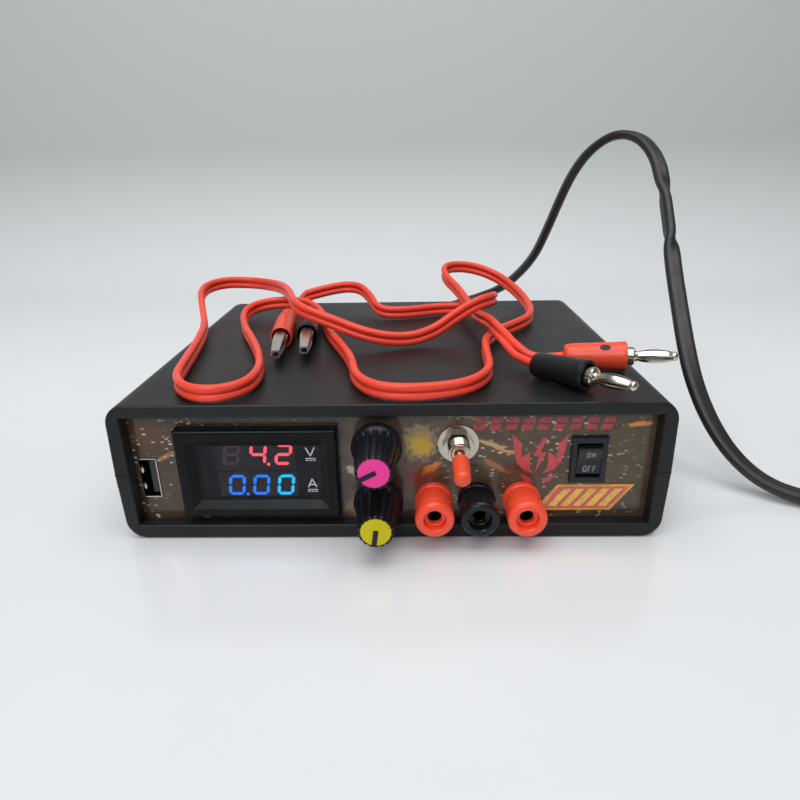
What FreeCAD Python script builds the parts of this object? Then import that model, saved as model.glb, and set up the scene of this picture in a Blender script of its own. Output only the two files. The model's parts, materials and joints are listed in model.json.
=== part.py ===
"""Adjustable bench battery charger: a two-shell plastic case with a panel meter, two knobs,
switches and binding posts, its twin output lead and its mains cord.

Units are millimetres. The origin is the centre of the case's underside, +X points to the right,
-Y to the front and +Z up. Every driving size is a cell of the sheet named "sizes".
"""
import FreeCAD
import Part
import Sketcher
import math
import os
from FreeCAD import Placement, Rotation, Vector

DRIVING = {
    # case
    "case_width": 162.0,
    "case_depth": 129.0,
    "case_height": 44.0,
    "seam_height": 22.0,
    "side_draft": 0.5,
    "corner_radius": 6.0,
    "wall": 2.5,
    "rim_wall": 4.0,
    "rim_depth": 4.5,
    "slot_bite": 1.3,
    "rib_width": 1.5,
    "lip_height": 1.5,
    "lip_thickness": 1.1,
    "boss_radius": 3.5,
    "boss_x": 70.5,
    "boss_front_y": -33.0,
    "boss_rear_y": 48.0,
    "boss_top": 12.0,
    "rim_fillet": 0.7,
    "seam_chamfer": 0.5,
    "standoff_radius": 3.0,
    "screw_radius": 1.45,
    "screw_head_radius": 2.8,
    # panels
    "panel_thickness": 2.0,
    # meter
    "meter_x": -39.2,
    "meter_z": 21.1,
    "meter_width": 48.0,
    "meter_height": 29.0,
    "meter_proud": 3.4,
    "meter_edge_fillet": 1.1,
    "window_recess": 1.5,
    "meter_body_width": 45.4,
    "meter_body_height": 26.4,
    "meter_body_depth": 18.0,
    "window_width": 36.6,
    "window_height": 18.2,
    # socket
    "socket_x": -73.1,
    "socket_z": 18.7,
    "socket_width": 5.7,
    "socket_height": 13.1,
    "socket_depth": 14.0,
    "socket_metal": 0.3,
    # knobs
    "knob_x": -3.7,
    "upper_knob_z": 30.6,
    "lower_knob_z": 12.3,
    "knob_radius": 7.4,
    "knob_front_radius": 5.0,
    "knob_length": 17.0,
    "knob_gap": 3.0,
    "knob_flutes": 18.0,
    "knob_cap_radius": 4.4,
    "pot_radius": 7.5,
    "pot_depth": 8.5,
    "pot_shaft_radius": 3.0,
    "bushing_radius": 3.5,
    # toggle switch
    "toggle_x": 20.0,
    "toggle_z": 29.6,
    "toggle_bushing_radius": 3.0,
    "toggle_bushing_length": 7.0,
    "toggle_bore_radius": 2.3,
    "toggle_ball_radius": 2.24,
    "toggle_lever_radius": 1.25,
    "toggle_sleeve_radius": 2.4,
    "toggle_sleeve_start": 5.3,
    "toggle_pivot_depth": 3.5,
    "toggle_reach": 15.0,
    "toggle_tilt": 11.0,
    "toggle_washer_radius": 6.0,
    # rocker switch
    "rocker_x": 58.3,
    "rocker_z": 24.2,
    "rocker_width": 10.5,
    "rocker_height": 15.0,
    "rocker_paddle_width": 6.9,
    "rocker_paddle_half": 4.5,
    "rocker_throw": 20.0,
    # binding posts
    "post_z": 10.9,
    "post_left_x": 12.8,
    "post_centre_x": 25.8,
    "post_right_x": 39.4,
    "post_reach": 12.5,
    "post_cap_radius": 5.7,
    "post_flutes": 24.0,
    "post_mouth_radius": 3.25,
    "post_mouth_depth": 3.5,
    "post_stud_radius": 3.0,
    "post_bore_radius": 2.0,
    "post_bore_depth": 20.0,
    "post_insert_radius": 4.0,
    "running_gap": 0.05,
    # rear gland
    "gland_x": 8.0,
    "gland_z": 20.0,
    "gland_length": 26.0,
    "gland_hole_radius": 5.5,
    # circuit boards
    "board_thickness": 1.6,
    "board_level": 8.0,
    # output lead
    "lead_width": 5.2,
    "strand_radius": 1.3,
    "sleeve_length": 19.0,
    "sleeve_rear_radius": 3.75,
    "sleeve_front_radius": 4.6,
    "plug_pin_radius": 2.0,
    "plug_pin_length": 12.0,
    "boot_length": 34.0,
    "boot_radius": 4.1,
    "boot_wall": 0.55,
    "clip_tip": 53.4,
    "clip_pivot": 31.5,
    "clip_half_width": 2.0,
    "clip_metal": 0.6,
    # mains cord
    "cord_width": 6.4,
    "coil_x": 203.0,
    "coil_y": -21.0,
    "coil_mean_radius": 32.1,
    "coil_width": 20.2,
    "coil_height": 6.4,
    "mains_pin_radius": 2.0,
    "mains_pin_length": 19.0,
    "mains_pin_spacing": 18.6,
}

doc = FreeCAD.newDocument("bench_charger")
sheet = doc.addObject("Spreadsheet::Sheet", "sizes")
for row, (alias, number) in enumerate(DRIVING.items(), 1):
    sheet.set(f"A{row}", alias)
    sheet.set(f"B{row}", str(number))
    sheet.setAlias(f"B{row}", alias)
doc.recompute()


class Size:
    """A length that knows both its value and the spreadsheet formula behind it."""

    def __init__(self, value, formula):
        self.value = value
        self.formula = formula

    def __float__(self):
        return float(self.value)

    def __add__(self, other):
        return Size(float(self) + float(other), f"({self.formula} + {formula_of(other)})")

    def __radd__(self, other):
        return as_size(other) + self

    def __sub__(self, other):
        return Size(float(self) - float(other), f"({self.formula} - {formula_of(other)})")

    def __rsub__(self, other):
        return as_size(other) - self

    def __mul__(self, other):
        return Size(float(self) * float(other), f"({self.formula} * {formula_of(other)})")

    def __rmul__(self, other):
        return as_size(other) * self

    def __truediv__(self, other):
        return Size(float(self) / float(other), f"({self.formula} / {formula_of(other)})")

    def __neg__(self):
        return self * -1


def as_size(number):
    return number if isinstance(number, Size) else Size(float(number), repr(float(number)))


def formula_of(number):
    return as_size(number).formula


def size(alias):
    """The Size that one named cell of the sheet drives."""
    return Size(float(sheet.get(alias)), f"sizes.{alias}")


def bind(thing, path, amount):
    thing.setExpression(path, formula_of(amount))


# ---------------------------------------------------------------- PartDesign helpers
def new_body(label, at=None):
    """A PartDesign body, optionally moved by three bound distances."""
    body = doc.addObject("PartDesign::Body", label)
    body.Label = label
    if at is not None:
        place(body, at)
    return body


def place(thing, at, rotation=None):
    if rotation is not None:
        thing.Placement = Placement(Vector(0, 0, 0), rotation)
    for axis, distance in zip("xyz", at):
        bind(thing, f"Placement.Base.{axis}", distance)


def origin_plane(body, role):
    return next(item for item in body.Origin.OriginFeatures if item.Role == role)


def circle(x, y, radius):
    return ("circle", x, y, radius)


def rectangle(low_x, low_y, high_x, high_y):
    return [(low_x, low_y), (high_x, low_y), (high_x, high_y), (low_x, high_y)]


def pinned(sketch, kind, geometry, point, distance):
    index = sketch.addConstraint(
        Sketcher.Constraint(kind, -1, 1, geometry, point, float(distance))
    )
    bind(sketch, f"Constraints[{index}]", distance)


def draw(sketch, outline):
    """Draws one closed outline, each corner held by bound distances from the origin."""
    first = sketch.GeometryCount
    if outline[0] == "circle":
        _, x, y, radius = outline
        centre = Vector(float(x), float(y), 0)
        sketch.addGeometry(Part.Circle(centre, Vector(0, 0, 1), float(radius)), False)
        index = sketch.addConstraint(Sketcher.Constraint("Radius", first, float(radius)))
        bind(sketch, f"Constraints[{index}]", radius)
        pinned(sketch, "DistanceX", first, 3, x)
        pinned(sketch, "DistanceY", first, 3, y)
        return
    corners = [Vector(float(x), float(y), 0) for x, y in outline]
    count = len(corners)
    sides = [Part.LineSegment(corners[i], corners[(i + 1) % count]) for i in range(count)]
    sketch.addGeometry(sides, False)
    joins = [
        Sketcher.Constraint("Coincident", first + i, 2, first + (i + 1) % count, 1)
        for i in range(count)
    ]
    sketch.addConstraint(joins)
    for i, (x, y) in enumerate(outline):
        pinned(sketch, "DistanceX", first + i, 1, x)
        pinned(sketch, "DistanceY", first + i, 1, y)


def new_sketch(body, plane, level, outlines):
    """A sketch on an origin plane moved to a level along X, Y or Z."""
    sketch = body.newObject("Sketcher::SketchObject", body.Name + "_sketch")
    sketch.AttachmentSupport = [(origin_plane(body, plane + "_Plane"), "")]
    sketch.MapMode = "FlatFace"
    bind(sketch, "AttachmentOffset.Base.z", -level if plane == "XZ" else level)
    for outline in outlines:
        draw(sketch, outline)
    return sketch


def pad(body, plane, low, high, *outlines):
    """Material between two levels; the XZ plane's normal points to -Y, so it starts at the back."""
    low, high = as_size(low), as_size(high)
    sketch = new_sketch(body, plane, high if plane == "XZ" else low, outlines)
    feature = body.newObject("PartDesign::Pad", body.Name + "_pad")
    feature.Profile = sketch
    bind(feature, "Length", high - low)
    return feature


def pocket(body, plane, low, high, *outlines):
    """Removes material between two levels; a pocket runs against its sketch's normal."""
    low, high = as_size(low), as_size(high)
    sketch = new_sketch(body, plane, low if plane == "XZ" else high, outlines)
    feature = body.newObject("PartDesign::Pocket", body.Name + "_pocket")
    feature.Profile = sketch
    bind(feature, "Length", high - low)
    return feature


def turn(body, profile, axis="V_Axis", kind="PartDesign::Revolution"):
    """Revolves (x, y) corners in the XY plane about the body's Y axis, or its X axis."""
    sketch = new_sketch(body, "XY", as_size(0), [profile])
    feature = body.newObject(kind, body.Name + "_turned")
    feature.Profile = sketch
    feature.ReferenceAxis = (sketch, [axis])
    feature.Angle = 360
    return feature


def dress(body, kind, amount, wanted):
    """Fillets or chamfers the edges of the body's tip that the test picks."""
    doc.recompute()
    base = body.Tip
    names = [f"Edge{i}" for i, edge in enumerate(base.Shape.Edges, 1) if wanted(edge)]
    feature = body.newObject(f"PartDesign::{kind}", body.Name + "_" + kind.lower())
    feature.Base = (base, names)
    bind(feature, "Radius" if kind == "Fillet" else "Size", amount)
    return feature


def runs_along(edge, axis):
    """True for a straight edge along X, Y or Z."""
    if not isinstance(edge.Curve, Part.Line):
        return False
    return abs(getattr(edge.Curve.Direction, axis)) > 0.999


def repeat_round(body, feature, count):
    """Repeats a feature round the body's Y axis."""
    pattern = body.newObject("PartDesign::PolarPattern", body.Name + "_pattern")
    pattern.Originals = [feature]
    pattern.Axis = (origin_plane(body, "Y_Axis"), [""])
    pattern.Angle = 360
    bind(pattern, "Occurrences", count)
    body.Tip = pattern


def tapered_flutes(body, count, rear, front):
    """Cone-shaped grooves; rear and front are (y, distance from the axis, groove radius)."""
    sections = [
        new_sketch(body, "XZ", as_size(y), [circle(0, reach, radius)])
        for y, reach, radius in (rear, front)
    ]
    groove = body.newObject("PartDesign::SubtractiveLoft", body.Name + "_flute")
    groove.Profile = sections[0]
    groove.Sections = [sections[1]]
    repeat_round(body, groove, count)


# ---------------------------------------------------------------- Part helpers
def box(name, low, high):
    thing = doc.addObject("Part::Box", name)
    for path, near, far in zip(("Length", "Width", "Height"), low, high):
        bind(thing, path, as_size(far) - near)
    place(thing, low)
    return thing


AIM = {
    "x": Rotation(Vector(0, 1, 0), 90),
    "y": Rotation(Vector(1, 0, 0), -90),
    "z": Rotation(),
}


def cylinder(name, start, aim, radius, length):
    thing = doc.addObject("Part::Cylinder", name)
    bind(thing, "Radius", radius)
    bind(thing, "Height", length)
    place(thing, start, AIM[aim])
    return thing


def hexagon(name, start, across_flats, length):
    """A hexagonal bar along +Y with a flat at top and bottom."""
    thing = doc.addObject("Part::Prism", name)
    thing.Polygon = 6
    bind(thing, "Circumradius", as_size(across_flats) / math.sqrt(3))
    bind(thing, "Height", length)
    place(thing, start, AIM["y"])
    return thing


def fused(name, pieces):
    thing = doc.addObject("Part::MultiFuse", name)
    thing.Shapes = pieces
    thing.Label = name
    return thing


def less(name, base, tool):
    thing = doc.addObject("Part::Cut", name)
    thing.Base = base
    thing.Tool = tool
    thing.Label = name
    return thing


def group(name, pieces):
    """Separate solids that share one node."""
    thing = doc.addObject("Part::Compound", name)
    thing.Links = pieces
    thing.Label = name
    return thing


nodes = []


def keep(*things):
    nodes.extend(things)


# ---------------------------------------------------------------- shared levels
half_depth = size("case_depth") / 2
half_edge = size("case_width") / 2
half_seam = half_edge + size("side_draft")
seam = size("seam_height")
height = size("case_height")
face = size("rim_depth") - half_depth
panel_back = face + size("panel_thickness")
rear_face = -face
inner_end = panel_back + size("rib_width")
open_half = half_edge - size("rim_wall")
open_low = size("rim_wall") + 0.5
open_high = height - size("rim_wall")
slot_half = open_half + size("slot_bite")
slot_low = open_low - size("slot_bite")
slot_high = open_high + size("slot_bite")
inner_half = half_edge - size("wall") + 0.2
BOSSES = [
    (side * size("boss_x"), level)
    for side in (-1, 1)
    for level in (size("boss_front_y"), size("boss_rear_y"))
]


# ---------------------------------------------------------------- case
def hollow_shell(body, low, high, cavity_low, cavity_high, slots, opening):
    """Cuts a shell's cavity, its two panel slots and the window through both ends."""
    pad(body, "XZ", -half_depth, half_depth, (low + high))
    pocket(body, "XZ", inner_end, -inner_end,
           rectangle(-inner_half, cavity_low, inner_half, cavity_high))
    for near, far in ((face, panel_back + 0.1), (-panel_back - 0.1, rear_face)):
        pocket(body, "XZ", near, far, rectangle(-slot_half, slots[0], slot_half, slots[1]))
    pocket(body, "XZ", -half_depth - 1, half_depth + 1,
           rectangle(-open_half, opening[0], open_half, opening[1]))


def is_rim_edge(edge):
    """Edges of the two end faces, apart from the one where the shells meet."""
    centre, box_of = edge.CenterOfMass, edge.BoundBox
    flat = box_of.YMax - box_of.YMin < 0.01
    meets = abs(centre.z - float(seam)) < 0.3 and box_of.ZMax - box_of.ZMin < 0.6
    return flat and abs(abs(centre.y) - float(half_depth)) < 0.01 and not meets


def is_outer_corner(level):
    return lambda edge: (
        runs_along(edge, "y")
        and abs(edge.CenterOfMass.z - level) < 0.01
        and abs(abs(edge.CenterOfMass.x) - float(half_edge)) < 0.01
    )


def is_seam_edge(edge):
    return (
        runs_along(edge, "y")
        and abs(edge.CenterOfMass.z - float(seam)) < 0.01
        and abs(abs(edge.CenterOfMass.x) - float(half_seam)) < 0.01
    )


def make_bottom_tray():
    body = new_body("bottom_tray")
    hollow_shell(body, [(-half_edge, 0), (half_edge, 0)], [(half_seam, seam), (-half_seam, seam)],
                 size("wall"), seam + 1, (slot_low, seam + 1), (open_low, seam + 1))
    pad(body, "XY", size("wall") - 0.5, size("boss_top"),
        *[circle(x, y, size("boss_radius")) for x, y in BOSSES])
    standoffs = [(x, y) for x in (-46, 42) for y in (-16, 38)]
    pad(body, "XY", size("wall") - 0.5, size("board_level"),
        *[circle(x, y, size("standoff_radius")) for x, y in standoffs])
    lip = size("lip_thickness")
    for side in (-1, 1):
        inner, outer = side * inner_half, side * (inner_half + lip)
        left, right = (inner, outer) if side > 0 else (outer, inner)
        pad(body, "XZ", inner_end, -inner_end,
            rectangle(left, seam - 1, right, seam + size("lip_height")))
    pocket(body, "XY", as_size(-1), size("boss_top") + 1,
           *[circle(x, y, size("screw_radius") + 0.2) for x, y in BOSSES])
    pocket(body, "XY", as_size(-1), size("wall") + 0.5,
           *[circle(x, y, size("screw_head_radius") + 0.3) for x, y in BOSSES])
    dress(body, "Fillet", size("corner_radius"), is_outer_corner(0.0))
    dress(body, "Chamfer", size("seam_chamfer"), is_seam_edge)
    dress(body, "Fillet", size("rim_fillet"), is_rim_edge)
    return body


def make_top_cover():
    body = new_body("top_cover")
    hollow_shell(body, [(-half_seam, seam), (half_seam, seam)],
                 [(half_edge, height), (-half_edge, height)],
                 seam - 1, height - size("wall"), (seam - 1, slot_high), (seam - 1, open_high))
    rebate = inner_half + size("lip_thickness") + 0.15
    pocket(body, "XZ", inner_end - 0.1, -inner_end + 0.1,
           rectangle(-rebate, seam - 1, rebate, seam + size("lip_height") + 0.1))
    pad(body, "XY", size("boss_top") + 0.05, height - size("wall") + 0.5,
        *[circle(x, y, size("boss_radius")) for x, y in BOSSES])
    pocket(body, "XY", size("boss_top") - 1, size("boss_top") + 14,
           *[circle(x, y, size("screw_radius")) for x, y in BOSSES])
    dress(body, "Fillet", size("corner_radius"), is_outer_corner(float(height)))
    dress(body, "Chamfer", size("seam_chamfer"), is_seam_edge)
    dress(body, "Fillet", size("rim_fillet"), is_rim_edge)
    return body


def make_case_screws():
    """Four self-tapping screws that go up through the tray into the cover's bosses."""
    screws = []
    for i, (x, y) in enumerate(BOSSES, 1):
        head = cylinder(f"screw_head_{i}", (x, y, as_size(0.8)), "z", size("screw_head_radius"), 2.2)
        shank = cylinder(f"screw_shank_{i}", (x, y, as_size(2.9)), "z", size("screw_radius"), 18)
        screws.append(fused(f"screw_{i}", [head, shank]))
    return group("case_screws", screws)


# ---------------------------------------------------------------- panels
def panel_blank(label, near, far):
    body = new_body(label)
    pad(body, "XZ", near, far,
        rectangle(-slot_half + 0.3, slot_low + 0.2, slot_half - 0.3, slot_high - 0.2))
    return body


def window_at(x, z, width, tall):
    return rectangle(x - width / 2, z - tall / 2, x + width / 2, z + tall / 2)


POSTS = {
    "left": size("post_left_x"),
    "centre": size("post_centre_x"),
    "right": size("post_right_x"),
}
KNOBS = {"volts": size("upper_knob_z"), "amps": size("lower_knob_z")}


def make_front_panel():
    body = panel_blank("front_panel", face, panel_back)
    pocket(body, "XZ", face - 1, panel_back + 1,
           window_at(size("meter_x"), size("meter_z"),
                     size("meter_body_width") + 0.2, size("meter_body_height") + 0.2),
           window_at(size("socket_x"), size("socket_z"),
                     size("socket_width") + 0.2, size("socket_height") + 0.2),
           window_at(size("rocker_x"), size("rocker_z"),
                     size("rocker_width") - 1.5, size("rocker_height") - 1.5),
           *[circle(size("knob_x"), z, size("bushing_radius") + 0.1) for z in KNOBS.values()],
           circle(size("toggle_x"), size("toggle_z"), size("toggle_bushing_radius") + 0.1),
           *[circle(x, size("post_z"), size("post_stud_radius") + 1.1) for x in POSTS.values()])
    return body


def make_rear_panel():
    body = panel_blank("rear_panel", -panel_back, rear_face)
    pocket(body, "XZ", -panel_back - 1, rear_face + 1,
           circle(size("gland_x"), size("gland_z"), size("gland_hole_radius")))
    return body


# ---------------------------------------------------------------- meter
meter_front = face - size("meter_proud")
window_front = meter_front + size("window_recess")
window_back = window_front + 1.2
meter_end = face + size("meter_body_depth")


def make_meter_bezel():
    x, z = size("meter_x"), size("meter_z")
    body = new_body("meter_bezel")
    pad(body, "XZ", meter_front, face, window_at(x, z, size("meter_width"), size("meter_height")))
    dress(body, "Fillet", as_size(0.6), lambda edge: runs_along(edge, "y"))
    dress(body, "Fillet", size("meter_edge_fillet"),
          lambda edge: abs(edge.CenterOfMass.y - float(meter_front)) < 0.01)
    pad(body, "XZ", face - 0.5, meter_end,
        window_at(x, z, size("meter_body_width"), size("meter_body_height")))
    pocket(body, "XZ", window_front, meter_end + 1,
           window_at(x, z, size("window_width") + 2, size("window_height") + 2))
    pocket(body, "XZ", window_back + 1.2, meter_end + 1,
           window_at(x, z, size("meter_body_width") - 2.4, size("meter_body_height") - 2.4))
    outer = new_sketch(body, "XZ", meter_front - 0.01,
                       [window_at(x, z, size("window_width") + 5, size("window_height") + 5)])
    inner = new_sketch(body, "XZ", window_front + 0.01,
                       [window_at(x, z, size("window_width"), size("window_height"))])
    bevel = body.newObject("PartDesign::SubtractiveLoft", "meter_bevel")
    bevel.Profile = outer
    bevel.Sections = [inner]
    return body


def make_meter_window():
    body = new_body("meter_window")
    pad(body, "XZ", window_front + 0.05, window_back,
        window_at(size("meter_x"), size("meter_z"),
                  size("window_width") + 1.8, size("window_height") + 1.8))
    return body


def make_meter_board():
    """The meter's circuit board with its two digit blocks and its plug header."""
    x, z = size("meter_x"), size("meter_z")
    board_y = meter_end - 7
    wide, tall = size("meter_body_width") - 3, size("meter_body_height") - 3
    board = box("meter_pcb", (x - wide / 2, board_y, z - tall / 2),
                (x + wide / 2, board_y + size("board_thickness"), z + tall / 2))
    blocks = [
        box(f"meter_digits_{i}", (x - 13, window_back + 0.1, z + low),
            (x + 11, board_y, z + low + 8.4))
        for i, low in enumerate((0.3, -8.7), 1)
    ]
    header = box("meter_header", (x - 9, board_y, z - 10), (x + 5, board_y + 6.5, z - 5))
    return fused("meter_board", [board, *blocks, header])


# ---------------------------------------------------------------- socket
socket_front = face - 0.3
socket_end = socket_front + size("socket_depth")


def make_socket():
    x, z = size("socket_x"), size("socket_z")
    wide, tall = size("socket_width"), size("socket_height")
    metal = size("socket_metal")
    shell = new_body("usb_shell")
    pad(shell, "XZ", socket_front, socket_end, window_at(x, z, wide, tall))
    dress(shell, "Fillet", as_size(0.5), lambda edge: runs_along(edge, "y"))
    pocket(shell, "XZ", socket_front - 1, socket_end + 1,
           window_at(x, z, wide - 2 * metal, tall - 2 * metal))
    tongue = new_body("usb_tongue")
    pad(tongue, "XZ", socket_end - 3.5, socket_end,
        window_at(x, z, wide - 2 * metal - 0.04, tall - 2 * metal - 0.04))
    pad(tongue, "XZ", socket_front + 1.5, socket_end - 3,
        window_at(x + 0.85, z, as_size(1.9), tall - 2))
    board_x = x + wide / 2 + 0.05
    board = box("usb_pcb", (board_x, socket_front + 4, z - 9),
                (board_x + size("board_thickness"), socket_front + 22, z + 9))
    coil = box("usb_choke", (board_x + size("board_thickness"), socket_front + 12, z - 4),
               (board_x + size("board_thickness") + 4, socket_front + 19, z + 3))
    terminal = box("usb_terminal", (board_x + size("board_thickness"), socket_front + 6, z + 3.5),
                   (board_x + size("board_thickness") + 3, socket_front + 10.5, z + 8))
    keep(shell, tongue, fused("usb_board", [board, coil, terminal]))


# ---------------------------------------------------------------- knobs
knob_rear = face - size("knob_gap")
knob_front = knob_rear - size("knob_length")
CAP_DEPTH = 0.9
# Degrees clockwise from straight down, as seen from the front.
POINTER_ANGLE = {"volts": 62.0, "amps": 8.0}


def make_pots():
    """Both rotary controls: round can, threaded bushing and three tags."""
    cans = []
    for name, z in KNOBS.items():
        body = new_body(f"{name}_pot", (size("knob_x"), 0, z))
        end = panel_back + size("pot_depth")
        collar = face - 2.4
        bore = size("pot_shaft_radius") + size("running_gap")
        turn(body, [(bore, collar), (size("bushing_radius"), collar),
                    (size("bushing_radius"), panel_back), (size("pot_radius"), panel_back),
                    (size("pot_radius"), end), (0, end), (0, end - 2), (bore, end - 2)])
        pad(body, "XZ", end - 4, end - 3.2,
            *[rectangle(6, low, 12, low + 1.4) for low in (-4.7, -0.7, 3.3)])
        cans.append(body)
    return group("pot_bodies", cans)


def make_pot_nuts():
    nuts = []
    for name, z in KNOBS.items():
        x = size("knob_x")
        washer = cylinder(f"{name}_pot_washer", (x, face - 0.5, z), "y", 5.6, 0.5)
        nut = hexagon(f"{name}_pot_nut", (x, face - 2.2, z), 10, 1.7)
        hole = cylinder(f"{name}_pot_nut_hole", (x, face - 3, z), "y", size("bushing_radius"), 4)
        nuts.append(less(f"{name}_pot_nut_set", fused(f"{name}_nut_blank", [washer, nut]), hole))
    return group("pot_nuts", nuts)


def make_knob(name, z):
    at = (size("knob_x"), 0, z)
    spin = Rotation(Vector(0, 1, 0), POINTER_ANGLE[name])
    shaft = new_body(f"{name}_shaft", at)
    turn(shaft, [(0, panel_back + size("pot_depth") - 3),
                 (size("pot_shaft_radius"), panel_back + size("pot_depth") - 3),
                 (size("pot_shaft_radius"), knob_rear - 12), (0, knob_rear - 12)])
    knob = new_body(f"{name}_knob")
    place(knob, at, spin)
    wide, slim = size("knob_radius"), size("knob_front_radius")
    recess = size("knob_cap_radius") + 0.05
    turn(knob, [(size("pot_shaft_radius"), knob_rear), (wide - 0.3, knob_rear),
                (wide, knob_rear - 0.3), (wide, knob_rear - 2.6), (wide - 0.9, knob_rear - 3.4),
                (slim, knob_front + 0.8), (slim - 0.25, knob_front + 0.2),
                (slim - 0.45, knob_front), (recess, knob_front), (recess, knob_front + CAP_DEPTH),
                (0, knob_front + CAP_DEPTH), (0, knob_rear - 12),
                (size("pot_shaft_radius"), knob_rear - 12)])
    tapered_flutes(knob, size("knob_flutes"), (knob_rear - 3.3, wide - 0.35, as_size(0.75)),
                   (knob_front, slim + 0.55, as_size(0.62)))
    pad(knob, "XZ", knob_front + 0.02, knob_front + CAP_DEPTH + 0.2,
        rectangle(-0.55, -recess - 0.1, 0.55, 0.6))
    cap = new_body(f"{name}_knob_cap")
    place(cap, at, spin)
    turn(cap, [(0, knob_front), (size("knob_cap_radius") - 0.2, knob_front),
               (size("knob_cap_radius"), knob_front + 0.2),
               (size("knob_cap_radius"), knob_front + CAP_DEPTH), (0, knob_front + CAP_DEPTH)])
    pocket(cap, "XZ", knob_front - 1, knob_front + CAP_DEPTH + 1,
           rectangle(-0.58, -recess - 1, 0.58, 0.63))
    keep(shaft, knob, cap)


# ---------------------------------------------------------------- toggle switch
toggle_mouth = face - size("toggle_bushing_length")
toggle_pivot = toggle_mouth + size("toggle_pivot_depth")


def make_toggle():
    x, z = size("toggle_x"), size("toggle_z")
    radius = size("toggle_bushing_radius")
    body = new_body("toggle_body", (x, 0, z))
    turn(body, [(0, panel_back), (0, panel_back - 3.5), (size("toggle_bore_radius"), panel_back - 3.5),
                (size("toggle_bore_radius"), toggle_mouth), (radius - 0.3, toggle_mouth),
                (radius, toggle_mouth + 0.3), (radius, panel_back)])
    pad(body, "XZ", panel_back, panel_back + 9.5, rectangle(-4, -6.5, 4, 6.5))
    pad(body, "XZ", panel_back + 9, panel_back + 13.5,
        *[rectangle(-1, low, 1, low + 0.8) for low in (-5.1, -0.4, 4.3)])
    washer = less("toggle_washer",
                  cylinder("toggle_washer_disc", (x, face - 0.6, z), "y",
                           size("toggle_washer_radius"), 0.6),
                  cylinder("toggle_washer_hole", (x, face - 2, z), "y", radius, 4))
    nut = less("toggle_nut", hexagon("toggle_nut_hex", (x, face - 2.6, z), 8, 2.0),
               cylinder("toggle_nut_hole", (x, face - 4, z), "y", radius, 6))
    tilt = Rotation(Vector(1, 0, 0), float(size("toggle_tilt")))
    reach = size("toggle_reach")
    ball, rod = size("toggle_ball_radius"), size("toggle_lever_radius")
    lever = new_body("toggle_lever")
    place(lever, (x, toggle_pivot, z), tilt)
    turn(lever, [(0, 1.2), (ball * 0.6, 1.2), (ball, 0.5), (ball, -0.5), (ball * 0.7, -1.5),
                 (rod, -2.1), (rod, 2 - reach), (0, 2 - reach)])
    grip = size("toggle_sleeve_radius")
    sleeve = new_body("toggle_sleeve")
    place(sleeve, (x, toggle_pivot, z), tilt)
    start = -size("toggle_sleeve_start")
    turn(sleeve, [(rod, start), (grip - 0.3, start), (grip, start - 0.4), (grip, 1.6 - reach),
                  (grip * 0.87, 0.7 - reach), (grip * 0.55, 0.15 - reach), (0, -reach),
                  (0, 2 - reach), (rod, 2 - reach)])
    keep(body, washer, nut, lever, sleeve)


# ---------------------------------------------------------------- rocker switch
rocker_front = face - 1.2
rocker_axis = face + 0.8


def make_rocker():
    x, z = size("rocker_x"), size("rocker_z")
    housing = new_body("rocker_housing")
    pad(housing, "XZ", rocker_front, face,
        window_at(x, z, size("rocker_width"), size("rocker_height")))
    dress(housing, "Fillet", as_size(0.4),
          lambda edge: abs(edge.CenterOfMass.y - float(rocker_front)) < 0.01)
    pad(housing, "XZ", face - 0.2, panel_back + 9,
        window_at(x, z, size("rocker_width") - 1.7, size("rocker_height") - 1.7))
    pocket(housing, "XZ", rocker_front - 1, panel_back + 5,
           window_at(x, z, size("rocker_paddle_width") + 0.4, 2 * size("rocker_paddle_half") + 2.2))
    pad(housing, "XZ", panel_back + 8.5, panel_back + 14,
        *[rectangle(x - 2.4, z + low, x + 2.4, z + low + 0.8) for low in (-4.4, 3.6)])
    half = size("rocker_paddle_half")
    slope = 2 * math.sin(math.radians(float(size("rocker_throw")) / 2))
    paddle = new_body("rocker_paddle")
    place(paddle, (x, rocker_axis, z))
    front = rocker_front - rocker_axis
    out = half * slope
    pad(paddle, "YZ", -size("rocker_paddle_width") / 2, size("rocker_paddle_width") / 2,
        [(front, -half), (front, 0), (front - out, half), (front - out + 2.2, half + 0.25),
         (1.2, 1.6), (1.2, -1.6), (front + 2.2, -half)])
    dress(paddle, "Fillet", as_size(0.35),
          lambda edge: runs_along(edge, "x") and edge.CenterOfMass.y < float(front) + 0.05
          and abs(edge.CenterOfMass.z) > 1)
    keep(housing, paddle)


# ---------------------------------------------------------------- binding posts
post_front = face - size("post_reach")
stud_front = post_front + size("post_mouth_depth")
collar_front = face - 2.0


def make_post_studs():
    studs = []
    for name, x in POSTS.items():
        body = new_body(f"{name}_post_stud", (x, 0, size("post_z")))
        bore_end = stud_front + size("post_bore_depth")
        turn(body, [(size("post_bore_radius"), stud_front), (size("post_stud_radius") - 0.3, stud_front),
                    (size("post_stud_radius"), stud_front + 0.3),
                    (size("post_stud_radius"), bore_end + 4), (0, bore_end + 4), (0, bore_end),
                    (size("post_bore_radius"), bore_end)])
        studs.append(body)
    return group("post_studs", studs)


def make_collar(name, label=None):
    body = new_body(label or f"{name}_collar", (POSTS[name], 0, size("post_z")))
    stud, spigot = size("post_stud_radius"), size("post_stud_radius") + 1.05
    wide = size("post_cap_radius")
    turn(body, [(stud, collar_front), (wide - 0.4, collar_front), (wide, collar_front + 0.4),
                (wide, face), (spigot, face), (spigot, panel_back - 0.2), (stud, panel_back - 0.2)])
    return body


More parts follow.
